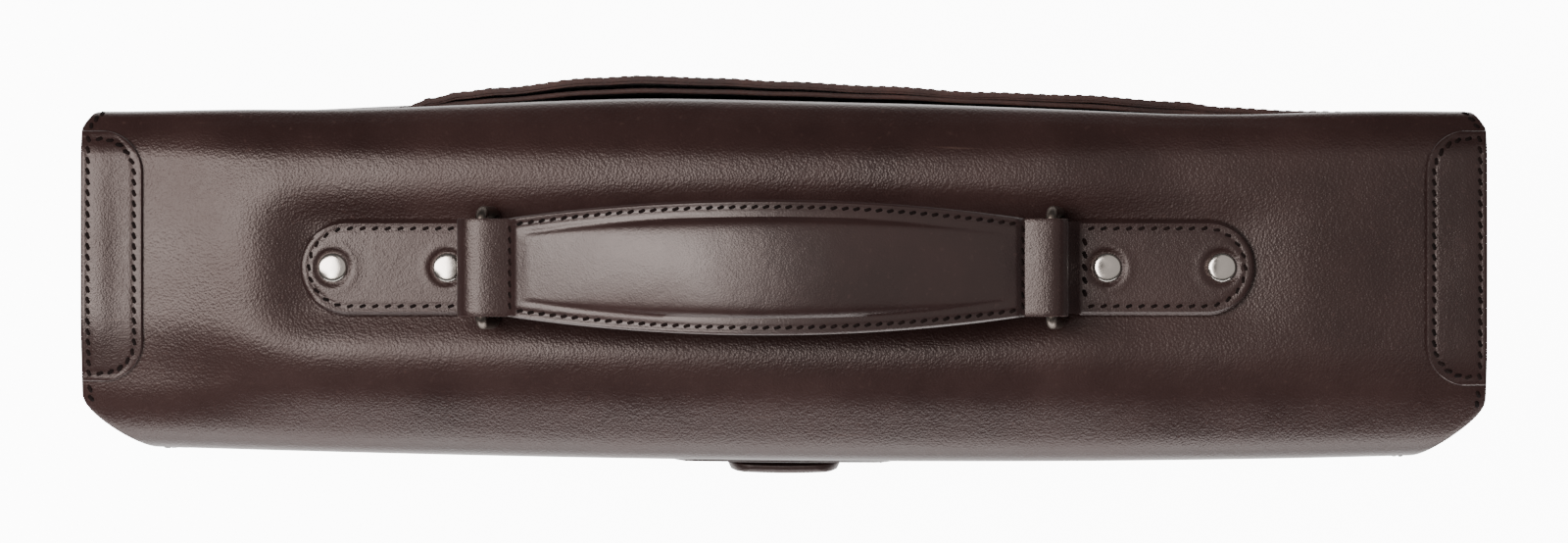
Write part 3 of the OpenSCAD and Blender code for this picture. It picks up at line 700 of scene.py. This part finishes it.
def makeTab(side, name, node):
    barX = handleX + side * ring["span"] / 2
    length = tabReach - ring["span"] / 2
    straightEnd = length - tabHalf
    loop = tab["bore"] + tab["layer"] / 2
    lowLayer, highLayer = tab["layer"] * 0.5, tab["layer"] * 1.5 + 0.1 * mm
    barHeight = lowBarZ - topZ
    ends = [straightEnd + tabHalf * math.sin(t) for t in spread(0, math.pi / 2, 16)]
    under = [(x, lowLayer, 0) for x in list(reversed(ends)) + spread(straightEnd, 7 * mm, 20)[1:]]
    under += [(x, lowLayer + (barHeight - loop - lowLayer) * smooth(-x, -7 * mm, 0), 0)
              for x in spread(6 * mm, 0.4 * mm, 6)]
    wrap = [(-loop * math.sin(t), barHeight - loop * math.cos(t), 0) for t in spread(0, math.pi, 20)]
    drop = barHeight + loop - highLayer
    over = [(x, highLayer + drop * (1 - smooth(x, 0, 6.4 * mm)), smooth(x, 4 * mm, 6.6 * mm))
            for x in spread(0.5 * mm, 9 * mm, 16)]
    over += [(x, highLayer, 1) for x in spread(9 * mm, straightEnd, 44)[1:] + ends[1:]]
    path = under + wrap + over

    def halfAt(x):
        past = x - straightEnd
        return tabHalf if past <= 0 else math.sqrt(max(0.0, tabHalf ** 2 - past ** 2))

    def place(y, stop):
        x, z, top = path[stop] if isinstance(stop, int) else stop
        if top:
            near = tabHalf - (abs(y) if x < straightEnd else math.hypot(x - straightEnd, y))
            z -= top * (rounding(near, 0.8 * mm) * 0.8 + 0.28 * mm * hill(near, tab["inset"], 0.6 * mm))
            for rivetX in rivetPlaces:
                away = math.hypot(x - rivetX, y)
                z -= tab["dimple"] * (1 - smooth(away, 4.5 * mm, 5.9 * mm))
                z -= 0.2 * mm * hill(away, 5.0 * mm, 0.5 * mm)
                z += 0.12 * mm * hill(away, 6.6 * mm, 1.2 * mm)
        return Vector((barX + side * x, handleY + y, topZ + z))

    def edges(stop):
        half = halfAt(path[stop][0])
        return -half, half

    sheet = cutSheet(name, list(range(len(path))), edges, place, 34)
    editAll(sheet, lambda: bpy.ops.mesh.normals_make_consistent(inside=False))
    thicken(sheet, tab["layer"], trimHide, cutEdge, bevel=0.2, offset=0)
    settle(sheet, "flap_top", [node])

    def topPlace(y, x):
        return place(y, (x, highLayer, 1)) + Vector((0, 0, tab["layer"] / 2))

    reach = tabHalf - tab["inset"]
    bow = [(reach * math.cos(t), straightEnd + reach * math.sin(t)) for t in spread(0, math.pi, 24)]
    row = [(reach, x) for x in spread(tab["crossRow"], straightEnd, 20)] + bow[1:-1]
    row += [(-reach, x) for x in spread(straightEnd, tab["crossRow"], 20)]
    rows = [row, [(y, tab["crossRow"]) for y in spread(-reach + 2 * mm, reach - 2 * mm, 4)]]
    seam = sew(name + "_stitches", topPlace, rows, flip=side > 0)
    settle(seam, "flap_top")
    return topPlace


def makeRivets(side, name, node, surface):
    # A domed cap with a rolled rim, spun up from a disc, and copied to the second place
    caps = []
    # Each step up, and how much wider or narrower the cap becomes
    steps = [(1 / 0.86, 0.3 * mm), (1.0, 0.55 * mm), (0.985, 0.28 * mm), (0.95, 0.24 * mm), (0.91, 0.16 * mm),
             (0.84, 0.11 * mm), (0.7, 0.08 * mm), (0.5, 0.05 * mm)]
    for x in rivetPlaces:
        seat = surface(0, x)
        deselectAll()
        bpy.ops.mesh.primitive_circle_add(vertices=48, radius=rivet["radius"] * 0.86, fill_type="NGON",
                                          location=seat + Vector((0, 0, -0.2 * mm)))
        cap = bpy.context.object
        bpy.ops.object.transform_apply(location=True)

        def raiseCap():
            for scale, up in steps:
                bpy.ops.mesh.extrude_region_move(TRANSFORM_OT_translate={"value": (0, 0, up)})
                bpy.ops.transform.resize(value=(scale, scale, 1), center_override=seat)

        editAll(cap, raiseCap, lambda: bpy.ops.mesh.select_all(action="SELECT"),
                lambda: bpy.ops.mesh.normals_make_consistent(inside=False))
        caps.append(cap)
    pickOnly(caps[0])
    caps[1].select_set(True)
    bpy.ops.object.join()
    piece = bpy.context.object
    piece.name = name
    bpy.ops.object.transform_apply(location=True, rotation=True, scale=True)
    piece.data.materials.append(nickel)
    smoothShade(piece, 50)
    settle(piece, "flap_top", [node])


for side, word in ((-1, "left"), (1, "right")):
    tabTop = makeTab(side, "tab_leather_" + word, "tab_" + word)
    makeRivets(side, "rivet_caps_" + word, "rivets_" + word, tabTop)
    settle(fromCad("ring_" + word, shadedNickel), "ring_" + word, ["ring_" + word])
print("tabs made")

grip = {
    "rise": 17 * mm,            # height of the arch between the rings
    "endHalf": 14.1 * mm,       # half widths at the ends and in the middle
    "midHalf": 19.3 * mm,
    "stitchOff": 8.6 * mm,      # the row across each end, from the ring's bar
    "layer": 1.5 * mm,          # thickness of the strap
    "flange": 1.3 * mm,         # thickness of the cover at its edge
    "pad": 3.1 * mm,            # rise of the padding
    "boxed": 0.38,              # share of the rise that is flat across, and share that is crowned
    "crowned": 0.40,
    "border": 4.7 * mm,         # flat rim beside the padding
    "seamInset": 2.1 * mm,
    "loopReach": {-1: 6.1 * mm, 1: 4.1 * mm},   # how far each end loop stands out beyond its ring's bar
    "loopRise": 5.2 * mm,       # and how far it rises over the bar
}
core = {"reach": 61 * mm, "half": 6.8 * mm, "thick": 0.9 * mm, "out": 2.5 * mm}
halfSpan = ring["span"] / 2
archRadius = (halfSpan ** 2 + grip["rise"] ** 2) / (2 * grip["rise"])
archX = handleX + leanX
archZ = highBarZ + grip["rise"] - archRadius
padEnd = halfSpan - grip["stitchOff"]


def archPoint(u, y, out):
    # u runs along the handle's arch, from its middle
    turn = math.asin(max(-1.0, min(1.0, u / archRadius)))
    radius = archRadius + out
    return Vector((archX + radius * math.sin(turn), handleY + y, archZ + radius * math.cos(turn)))


def gripHalf(u):
    bow = grip["midHalf"] - grip["endHalf"]
    share = min(1.0, abs(u) / padEnd)
    return grip["midHalf"] - bow * share * share


def makeHandleStrap():
    # One strap under the hand, turned round both rings and back under the cover's ends
    loop = tab["bore"] + grip["layer"] / 2
    layer = grip["layer"] / 2 + 0.02 * mm

    def asPoints(stops):
        points = [archPoint(u, 0, out) for u, out in stops]
        return [(point.x, point.z) for point in points]

    def returned(side):
        # From the stitched row the strap rises over the bar
        row, bar = archPoint(side * padEnd, 0, layer), archPoint(side * halfSpan, 0, 0)
        rise = bar.z + grip["loopRise"] - row.z
        found = asPoints([(side * u, layer) for u in spread(60 * mm, padEnd, 10)])
        for t in spread(0, 1, 10)[1:-1]:
            found.append((row.x + (bar.x - row.x) * t, row.z + rise * math.sin(t * math.pi / 2)))
        return found

    def barLoop(side):
        bar, reach = archPoint(side * halfSpan, 0, 0), grip["loopReach"][side]
        half, middle = (grip["loopRise"] + loop) / 2, (grip["loopRise"] - loop) / 2
        return [(bar.x + side * reach * math.sin(t), bar.z + middle + half * math.cos(t))
                for t in spread(0, math.pi, 26)]

    rising = [(u, -layer - (loop - layer) * smooth(-u, padEnd, halfSpan - 1 * mm))
              for u in spread(-halfSpan + 2 * mm, -60 * mm, 16)]
    under = rising + [(u, -layer) for u in spread(-58 * mm, 58 * mm, 40)]
    under += [(-u, out) for u, out in reversed(rising)]
    path = returned(-1) + barLoop(-1) + asPoints(under) + (returned(1) + barLoop(1))[::-1]

    def place(y, stop):
        x, z = path[stop]
        return Vector((x, handleY + y, z))

    def edges(stop):
        half = gripHalf(path[stop][0] - archX)
        return -half, half

    sheet = cutSheet("handle_strap_leather", list(range(len(path))), edges, place, 16)
    editAll(sheet, lambda: bpy.ops.mesh.normals_make_consistent(inside=False))
    thicken(sheet, grip["layer"], trimHide, cutEdge, bevel=0.22, offset=0)
    settle(sheet, "handle", ["handle_strap"])


def coverHeight(u, y):
    half = gripHalf(u)
    inside = half - grip["border"]
    q = min(1.0, abs(y) / inside)
    rise = grip["boxed"] * max(0.0, 1 - q ** 12) + grip["crowned"] * (1 - q * q)
    endRun = padEnd - abs(u)
    taper = 0.10 * smooth(endRun, 2 * mm, 7 * mm) + 0.90 * smooth(endRun, 2 * mm, 58 * mm)
    flange = grip["flange"] * (0.4 + 0.6 * smooth(endRun, 0, 3 * mm))
    height = flange + grip["pad"] * rise * taper
    near = min(half - abs(y), endRun + 0.5 * mm)
    sewn = hill(half - abs(y), grip["seamInset"], 0.65 * mm) if endRun > 1.5 * mm else 0
    sewn = max(sewn, hill(endRun, 0.6 * mm, 0.6 * mm))
    height -= 0.3 * mm * sewn + rounding(near, 0.6 * mm) * 0.7
    crease = hill(abs(y), inside - 0.4 * mm, 0.5 * mm) * smooth(endRun, 4 * mm, 8 * mm)
    height -= 0.15 * mm * crease
    height += waver((u, y, 2.2), 16 * mm, 0.10 * mm) * rise
    return height


def coverPoint(y, u):
    return archPoint(u, y, grip["layer"] + coverHeight(u, y))


def makeCover():
    reach = padEnd + 0.5 * mm
    stops = chain((-reach, -padEnd + 9 * mm, 16), (-padEnd + 9 * mm, padEnd - 9 * mm, 120),
                  (padEnd - 9 * mm, reach, 16))
    sheet = cutSheet("handle_cover", stops, lambda u: (-gripHalf(u), gripHalf(u)), coverPoint, 56, flip=True)
    thicken(sheet, grip["flange"] * 0.98, gripHide, cutEdge, bevel=0.15)
    settle(sheet, "handle", ["handle_pad"])
    rows = []
    lengthwise = spread(-padEnd + 2.2 * mm, padEnd - 2.2 * mm, 60)
    across = spread(-grip["endHalf"] + 1.5 * mm, grip["endHalf"] - 1.5 * mm, 8)
    for side in (-1, 1):
        rows.append([(side * (gripHalf(u) - grip["seamInset"]), u) for u in lengthwise])
        rows.append([(y, side * (padEnd - 0.6 * mm)) for y in across])
    seam = sew("handle_stitches", coverPoint, rows, flip=True, pitch=stitch["finePitch"])
    settle(seam, "handle")


def makeCore():
    # The steel strip in the padding, with rounded ends
    def edges(u):
        half = core["half"] - rounding(core["reach"] - abs(u), core["half"])
        return -half, half

    def place(y, u):
        return archPoint(u, y, core["out"])

    stops = roundedStops(-core["reach"], core["reach"], core["half"], 8, 40, start=0.1)
    sheet = cutSheet("handle_core_strip", stops, edges, place, 6, flip=True)
    thicken(sheet, core["thick"], plainSteel, plainSteel)
    settle(sheet, "handle", ["handle_core"])


makeHandleStrap()
makeCover()
makeCore()
print("handle made")

lock = {
    "patchRadius": 9 * mm, "patchLift": 1.5 * mm, "patchThick": 1.7 * mm, "patchInset": 2.3 * mm,
    "strapRadius": 8 * mm,
    "strapInset": 4.2 * mm,
    "strapPuff": 0.5 * mm,      # its middle is a little higher than its edges
}
strapLow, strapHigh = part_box("lock_strap")
lockPatchLow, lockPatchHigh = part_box("lock_patch")


def frontAt(x, z, lift):
    # A point on the flap's front at height z
    return flapPoint(x, foldEnd + (topZ - flap["frontFold"]) - z, lift)


def plainFrom(z):
    # 1 where the strap lies on the flap's front, 0 where it hangs below it
    return smooth(z, frontLow.z - 14 * mm, frontLow.z + 30 * mm)


def makeLockPatch():
    half, radius, inset = lockPatchHigh.x, lock["patchRadius"], lock["patchInset"]
    middle, tall = (lockPatchLow.z + lockPatchHigh.z) / 2, (lockPatchHigh.z - lockPatchLow.z) / 2

    def halfAt(z):
        return half - rounding(tall - abs(z - middle), radius)

    def place(x, z):
        near = min(halfAt(z) - abs(x), tall - abs(z - middle))
        sewn = 0.2 * mm * hill(near, inset, 0.6 * mm)
        return frontAt(x, z, lock["patchLift"] - 0.6 * rounding(near, 0.7 * mm) - sewn)

    stops = roundedStops(lockPatchLow.z, lockPatchHigh.z, radius, 10, 26)
    sheet = cutSheet("lock_patch_leather", stops, lambda z: (-halfAt(z), halfAt(z)), place, 60)
    thicken(sheet, lock["patchThick"], trimHide, cutEdge, bevel=0.15)
    settle(sheet, "flap_front", ["lock_patch"])
    reach = radius - inset
    row = []
    corners = ((1, 1), (-1, 1), (-1, -1), (1, -1))
    for quarter, (sideX, sideZ) in enumerate(corners):
        cornerX, cornerZ = sideX * (half - radius), middle + sideZ * (tall - radius)
        for turn in spread(quarter * math.pi / 2, (quarter + 1) * math.pi / 2, 8):
            row.append((cornerX + reach * math.cos(turn), cornerZ + reach * math.sin(turn)))
    row.append(row[0])
    settle(sew("lock_patch_stitches", place, [row]), "flap_front")


def makeLockStrap():
    half, inset = strapHigh.x, lock["strapInset"]
    thick = strapHigh.y - strapLow.y
    middle, tall = (strapLow.z + strapHigh.z) / 2, (strapHigh.z - strapLow.z) / 2

    def halfAt(z):
        return half - rounding(tall - abs(z - middle), lock["strapRadius"])

    def place(x, z):
        near = min(halfAt(z) - abs(x), tall - abs(z - middle))
        puff = lock["strapPuff"] * (1 - (x / half) ** 2) * plainFrom(z)
        drop = rounding(near, 2.4 * mm) + 0.25 * mm * hill(near, inset, 0.7 * mm)
        lying = frontAt(x, z, thick + puff - drop)
        hanging = Vector((x, strapLow.y + drop, z))
        return hanging.lerp(lying, plainFrom(z))

    stops = roundedStops(strapLow.z, strapHigh.z, lock["strapRadius"], 12, 90)
    sheet = cutSheet("lock_strap_leather", stops, lambda z: (-halfAt(z), halfAt(z)), place, 34)
    thicken(sheet, thick * 0.55, trimHide, cutEdge, bevel=0.1)
    settle(sheet, "flap_front", ["lock_strap"])
    lengthwise = spread(strapLow.z + 9 * mm, strapHigh.z - 9 * mm, 60)
    rows = [[(side * (half - inset), z) for z in lengthwise] for side in (-1, 1)]
    rows.append([(x, strapHigh.z - inset) for x in spread(-half + 8 * mm, half - 8 * mm, 6)])
    settle(sew("lock_strap_stitches", place, rows), "flap_front")


makeLockPatch()
makeLockStrap()
for node, bevel in (("lock_plate", 0.35 * mm), ("lock_housing", 0), ("lock_button", 0.2 * mm),
                    ("lock_stud_plate", 0.2 * mm)):
    body = next(name for name, members in frame["record"]["behaviour"]["bodies"].items() if node in members)
    settle(fromCad(node, nickel, bevel), body, [node])
print("lock made")

ear = {"thick": 2 * mm, "radius": 22 * mm, "inset": 3 * mm, "tuckedOver": 0.35}


def makeEar(side, name, node):
    # Hangs under an end of the flap's top and leans in against the gusset
    low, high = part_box(node)
    outer = max(abs(low.x), abs(high.x))
    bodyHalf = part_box("gusset_right")[1].x
    middle, half, tall = (low.y + high.y) / 2, (high.y - low.y) / 2, high.z - low.z

    def halfAt(z):
        return half - rounding(z - low.z, ear["radius"]) - 2 * mm * smooth(high.z - z, 0, 20 * mm)

    def place(y, z):
        tucked = (outer - 2.5 * mm - bodyHalf) * smooth(high.z - z, 0, ear["tuckedOver"] * tall)
        return Vector((side * (outer - tucked), middle + y, z))

    stops = [low.z + ear["radius"] * (1 - math.cos(t)) for t in spread(0, math.pi / 2, 12)]
    stops += spread(low.z + ear["radius"], high.z, 16)[1:]
    sheet = cutSheet(name, stops, lambda z: (-halfAt(z), halfAt(z)), place, 40, flip=side < 0)
    thicken(sheet, ear["thick"], flapHide, cutEdge)
    settle(sheet, "flap_top", [node])
    row = [(halfAt(z) - ear["inset"], z) for z in reversed(stops) if z > low.z + ear["inset"] + 1 * mm]
    settle(sew(name + "_stitches", place, [mirrored(row)], flip=side < 0), "flap_top")


makeEar(-1, "ear_left_leather", "ear_left")
makeEar(1, "ear_right_leather", "ear_right")
print("ears made")

panelLow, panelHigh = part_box("front_panel")
panel = {"bulge": 0.8 * mm, "sag": 1.6 * mm, "seamInset": 4 * mm}


def makeFrontPanel():
    inset = panel["seamInset"]

    def place(x, z):
        middle = 1 - (x / panelHigh.x) ** 2
        bulge = panel["bulge"] * middle * smooth(z, 180 * mm, 260 * mm)
        sag = panel["sag"] * middle * smooth(z, 200 * mm, panelHigh.z)
        return Vector((x, panelLow.y - bulge, z - sag))

    stops = spread(panelLow.z, panelHigh.z, 60)
    sheet = cutSheet("front_hide", stops, lambda z: (panelLow.x, panelHigh.x), place, 90)
    thicken(sheet, panelHigh.y - panelLow.y, caseHide, cutEdge)
    settle(sheet, "case", ["front_panel"])
    upright = spread(panelLow.z + inset, panelHigh.z - inset, 30)
    across = spread(-panelHigh.x + inset, panelHigh.x - inset, 40)
    rows = [[(-panelHigh.x + inset, z) for z in upright], [(x, panelHigh.z - inset) for x in across],
            [(panelHigh.x - inset, z) for z in upright], [(x, panelLow.z + inset) for x in across]]
    settle(sew("front_stitches", place, rows), "case")


gussetLow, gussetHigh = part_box("gusset_right")
gusset = {
    "thick": 1.9 * mm,
    "dip": 5 * mm,              # of its upper edge
    "crumple": 0.9 * mm,
    "seamAt": 0.9,              # the stitched rows, from the middle at 0 to the edges at 1
}


def makeGusset(side, name, node):
    low, high = gussetLow, gussetHigh
    middle, half = (low.y + high.y) / 2, (high.y - low.y) / 2
    deep = high.x - low.x

    def foldIn(t, z):
        # How far the side is folded in: most in the middle and towards the top
        q = abs(t)
        crest = max(0.0, 1 - q) ** 1.15
        soft = crest * (1 - 0.16 * hill(q, 0, 0.16))
        opened = 0.55 * smooth(z, low.z, low.z + 90 * mm)
        opened += 0.45 * smooth(z, low.z + 30 * mm, high.z - 40 * mm)
        return (deep - 1.5 * mm) * soft * opened

    def place(t, z):
        pull = backPull(side * high.x, z) * smooth(t, 0.2, 1)
        y = middle + t * (half - 0.2 * mm) - pull
        dip = gusset["dip"] * (1 - t * t) * smooth(z, high.z - 30 * mm, high.z)
        crumple = waver((t * 0.03, z, side), 24 * mm, gusset["crumple"]) * (1 - t * t)
        return Vector((side * (high.x - 0.4 * mm - foldIn(t, z) + crumple), y, z - dip))

    sheet = cutSheet(name, spread(low.z, high.z, 70), lambda z: (-1.0, 1.0), place, 44, flip=side < 0)
    thicken(sheet, gusset["thick"], caseHide, cutEdge)
    settle(sheet, "case", [node])
    # Across runs from -1 to 1 here, so the rows are laid out as if it were in metres
    across = 40 * mm
    rows = [[(t * across, z) for z in spread(low.z + 4 * mm, high.z - 4 * mm, 40)]
            for t in (-gusset["seamAt"], gusset["seamAt"])]
    seam = sew(name + "_stitches", lambda a, z: place(a / across, z), rows, flip=side < 0)
    settle(seam, "case")


def roundSeam(low, high, radius, inset, top):
    # A row down one side of a pocket, round its bottom corners and up the other side
    side = [(high.x - inset, z) for z in spread(top, low.z + radius, 30)]
    reach, cornerX, cornerZ = radius - inset, high.x - radius, low.z + radius
    bow = [(cornerX + reach * math.cos(t), cornerZ - reach * math.sin(t)) for t in spread(0, math.pi / 2, 12)]
    return mirrored(side + bow[1:])


frontPocket = {
    "thick": 1.6 * mm, "radius": 24 * mm, "dip": 3.5 * mm, "seamInset": 10 * mm, "hem": 5 * mm,
    # In mm from the lower edge, close together where it is rounded
    "edgeStops": (0, 0.15, 0.5, 1.1, 2, 3.2, 4.6, 6.5, 9, 13, 18),
}


def makeFrontPocket():
    low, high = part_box("front_pocket")
    radius, wall, hem = frontPocket["radius"], high.y - low.y, high.z - frontPocket["hem"]

    def halfAt(z):
        return high.x - rounding(z - low.z, radius)

    def place(x, z):
        near = max(0.0, min(halfAt(z) - abs(x), z - low.z))
        drop = rounding(near, wall - 0.6 * mm)
        dip = frontPocket["dip"] * (1 - (x / high.x) ** 2) * smooth(z, high.z - 26 * mm, high.z)
        return Vector((x, low.y + drop, z - dip))

    stops = [low.z + d * mm for d in frontPocket["edgeStops"]] + spread(low.z + radius, high.z, 44)
    sheet = cutSheet("front_pocket_leather", stops, lambda z: (-halfAt(z), halfAt(z)), place, 150)
    thicken(sheet, frontPocket["thick"], caseHide, cutEdge)
    settle(sheet, "case", ["front_pocket"])
    rows = [[(x, hem) for x in spread(-high.x + 9 * mm, high.x - 9 * mm, 60)],
            roundSeam(low, high, radius, frontPocket["seamInset"], hem)]
    settle(sew("front_pocket_stitches", place, rows), "case")


backPocket = {
    "thick": 1.5 * mm, "radius": 26 * mm, "dip": 2.0 * mm, "bulge": 2.2 * mm, "seamInset": 3 * mm,
    "hems": (3 * mm, 9 * mm),   # two stitched rows under the mouth
    "edgeStops": (0, 0.3, 0.8, 1.6, 3, 5, 8, 12, 18),
    # Two more layers face the mouth and fill it: how far towards the back, how far behind the pocket,
    # how thick and how much lower
    "facings": ({"share": 0.05, "behind": 1.1 * mm, "thick": 0.9 * mm, "drop": 0.7 * mm},
                {"share": 0.46, "behind": 0.7 * mm, "thick": 1.5 * mm, "drop": 0.4 * mm}),
    "facingDepth": 34 * mm,
    "facingInset": 2.4 * mm,
}
# How far the back pocket's mouth stands out behind the back, along its width, both in mm
pocketMouth = [(-178, -3.4), (-140, -3.2), (-122, -3.0), (-114, -1.8), (-106, 0.9), (-97, 2.8), (-86, 4.0),
               (-57, 7.0), (-43, 7.6), (-20, 6.9), (0, 5.9), (29, 4.5), (59, 2.7), (88, 1.8), (118, -0.2),
               (132, -1.9), (155, -3.1), (178, -3.4)]


def mouthAt(x):
    for (x0, y0), (x1, y1) in zip(pocketMouth, pocketMouth[1:]):
        if x <= x1 * mm:
            return (y0 + (y1 - y0) * smooth(x / mm, x0, x1)) * mm
    return pocketMouth[-1][1] * mm


def makeBackPocket():
    low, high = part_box("back_pocket")
    radius = backPocket["radius"]

    def halfAt(z):
        return high.x - rounding(z - low.z, radius)

    def place(x, z, lift=0.0, inner=0.0):
        near = max(0.0, min(halfAt(z) - abs(x), z - low.z))
        bulge = backPocket["bulge"] * smooth(near, 0, 60 * mm) * (1 - smooth(z, high.z - 90 * mm, high.z))
        against = backPoint(x, z - hingeZ).y + 1.7 * mm
        share = smooth(z, low.z, high.z) ** 1.6
        mouth = max(against, backHigh.y + mouthAt(x))
        y = against + (mouth - against) * share + bulge - 0.7 * rounding(near, 1.0 * mm)
        y -= (y - against) * inner
        dip = backPocket["dip"] * (1 - (x / high.x) ** 2) * smooth(z, high.z - 40 * mm, high.z)
        return Vector((x, y + lift, z - dip))

    stops = [low.z + d * mm for d in backPocket["edgeStops"]] + spread(low.z + radius, high.z, 50)
    sheet = cutSheet("back_pocket_leather", stops, lambda z: (-halfAt(z), halfAt(z)), place, 130, flip=True)
    thicken(sheet, backPocket["thick"], caseHide, cutEdge)
    settle(sheet, "case", ["back_pocket"])
    rows = [roundSeam(low, high, radius, backPocket["seamInset"], high.z - 3 * mm)]
    across = spread(-high.x + 6 * mm, high.x - 6 * mm, 80)
    rows += [[(x, high.z - hem) for x in across] for hem in backPocket["hems"]]
    settle(sew("back_pocket_stitches", place, rows, flip=True), "case")

    stops = spread(high.z - backPocket["facingDepth"], high.z, 14)
    across = spread(-high.x + 12 * mm, high.x - 12 * mm, 80)
    for number, look in enumerate(backPocket["facings"], 1):
        def facingPlace(x, z):
            return place(x, z, -look["behind"], inner=look["share"]) - Vector((0, 0, look["drop"]))

        facing = cutSheet("back_pocket_facing_%d" % number, stops,
                          lambda z: (-high.x + 8 * mm, high.x - 8 * mm), facingPlace, 110, flip=True)
        thicken(facing, look["thick"], caseHide, cutEdge)
        settle(facing, "case")
        row = [(x, high.z - backPocket["facingInset"]) for x in across]
        seam = sew("back_pocket_facing_stitches_%d" % number, facingPlace, [row], flip=True)
        settle(seam, "case")


divider = {"bow": 2.0 * mm, "seamInset": 4 * mm}
base = {"rim": 0.6 * mm, "puff": 0.5 * mm, "seamInset": 4 * mm}


def makeDivider():
    low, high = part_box("divider")
    middle = (low.y + high.y) / 2

    def place(x, z):
        bow = waver((x, z, 9.0), 160 * mm, divider["bow"]) * smooth(z, low.z, high.z)
        return Vector((x, middle - 1 * mm + bow, z))

    sheet = cutSheet("divider_leather", spread(low.z, high.z, 30), lambda z: (low.x, high.x), place, 50)
    thicken(sheet, high.y - low.y, suede, cutEdge)
    settle(sheet, "case", ["divider"])
    inset = divider["seamInset"]
    row = [(x, high.z - inset) for x in spread(low.x + inset, high.x - inset, 40)]
    settle(sew("divider_stitches", place, [row]), "case")


def makeBase():
    low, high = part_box("base_panel")
    inset = base["seamInset"]

    def place(x, y):
        # The base turns up a little at its edges, where it is sewn between the panels
        near = min(high.x - abs(x), y - low.y, high.y - y)
        return Vector((x, y, low.z + base["rim"] - base["puff"] * smooth(near, 0, 14 * mm)))

    sheet = cutSheet("base_leather", spread(low.y, high.y, 24), lambda y: (low.x, high.x), place, 90,
                     flip=True)
    thicken(sheet, high.z - low.z - base["rim"], caseHide, cutEdge)
    settle(sheet, "case", ["base_panel"])
    left, right, front, back = low.x + inset, high.x - inset, low.y + inset, high.y - inset
    row = [(left, front), (right, front), (right, back), (left, back), (left, front)]
    settle(sew("base_stitches", place, [row], flip=True), "case")


makeFrontPanel()
makeGusset(-1, "gusset_left_leather", "gusset_left")
makeGusset(1, "gusset_right_leather", "gusset_right")
makeFrontPocket()
makeBackPocket()
makeDivider()
makeBase()
settle(fromCad("base_feet", nickel), "case", ["base_feet"])
for node, finish in (("base_board", fibreBoard), ("handle_bar", plainSteel), ("rivet_washers", plainSteel),
                     ("lock_catch", plainSteel), ("lock_spring", plainSteel)):
    mesh = frame["nodes"][node].data
    mesh.materials.clear()
    mesh.materials.append(finish)
print("body made")

studio = {
    "cameraRise": 1.6,          # above the flap's top
    "seenWidth": 457.14 * mm,   # width of the view at the flap's top
    "viewShift": 0.86 * mm,     # the view's middle, behind the origin
    "world": 0.085,
    "floorGlow": 1.7,           # the light the floor gives, near the object and far from it
    "floorFar": 0.3,
    "nearFloor": 0.28,          # how far from the origin near ends and far starts
    "farFloor": 0.70,
    "floorWhite": 11.0,         # and what it shows
    "warm": (1, 0.95, 0.92),
}
# Name, size, place, aim, power and colour of each light
lights = (
    ("softboxLeft", (1.25, 0.58), (-0.775, 0.16, 1.52), (-0.775, 0.16, 0), 23, studio["warm"]),
    ("softboxMiddle", (0.20, 0.28), (-0.26, -0.27, 1.52), (-0.26, -0.27, 0), 2.2, studio["warm"]),
    ("softboxRight", (1.8, 1.6), (1.00, 0.25, 1.52), (1.00, 0.25, 0), 4.1, studio["warm"]),
    ("frontPanel", (2.4, 0.6), (0, -1.3, 0.32), (0, 0, 0.2), 20, (1, 1, 1)),
)


def makeLight(name, size, place, aim, power, colour):
    light = bpy.data.lights.new(name, "AREA")
    light.shape = "RECTANGLE"
    light.size, light.size_y = size
    light.energy = power
    light.color = colour
    lamp = bpy.data.objects.new(name, light)
    lamp.location = place
    lamp.rotation_euler = (Vector(aim) - Vector(place)).to_track_quat("-Z", "Y").to_euler()
    bpy.context.scene.collection.objects.link(lamp)


cameraData = bpy.data.cameras.new("camera")
cameraData.sensor_width = 36
cameraData.lens = cameraData.sensor_width * studio["cameraRise"] / studio["seenWidth"]
cameraData.clip_end = 20
camera = bpy.data.objects.new("camera", cameraData)
camera.location = (0, studio["viewShift"], topZ + studio["cameraRise"])
bpy.context.scene.collection.objects.link(camera)
bpy.context.scene.camera = camera

deselectAll()
bpy.ops.mesh.primitive_plane_add(size=80)
floor = bpy.context.object
floor.name = "floor"
floorFinish, floorTree, floorShader = newMaterial("paleFloor", (0.9, 0.9, 0.9), 0.8)
floorShader.inputs["Emission Color"].default_value = (1, 1, 1, 1)
# The floor shows the camera an even white, and lights the object less the further away it is
seen = addNode(floorTree, "ShaderNodeLightPath").outputs["Is Camera Ray"]
floorPlace = addNode(floorTree, "ShaderNodeTexCoord").outputs["Object"]
away = addNode(floorTree, "ShaderNodeVectorMath", operation="LENGTH")
floorTree.links.new(floorPlace, away.inputs[0])
fall = addNode(floorTree, "ShaderNodeMapRange", Value=away.outputs["Value"], interpolation_type="SMOOTHSTEP",
               **{"From Min": studio["nearFloor"], "From Max": studio["farFloor"],
                  "To Min": studio["floorGlow"], "To Max": studio["floorFar"]})
glow = addNode(floorTree, "ShaderNodeMapRange", Value=seen, **{"To Max": studio["floorWhite"]})
floorTree.links.new(fall.outputs[0], glow.inputs["To Min"])
floorTree.links.new(glow.outputs[0], floorShader.inputs["Emission Strength"])
floor.data.materials.append(floorFinish)

world = bpy.data.worlds.new("world")
world.use_nodes = True
world.node_tree.nodes["Background"].inputs[0].default_value = (1, 1, 1, 1)
world.node_tree.nodes["Background"].inputs[1].default_value = studio["world"]
bpy.context.scene.world = world

for light in lights:
    makeLight(*light)
print("studio made")
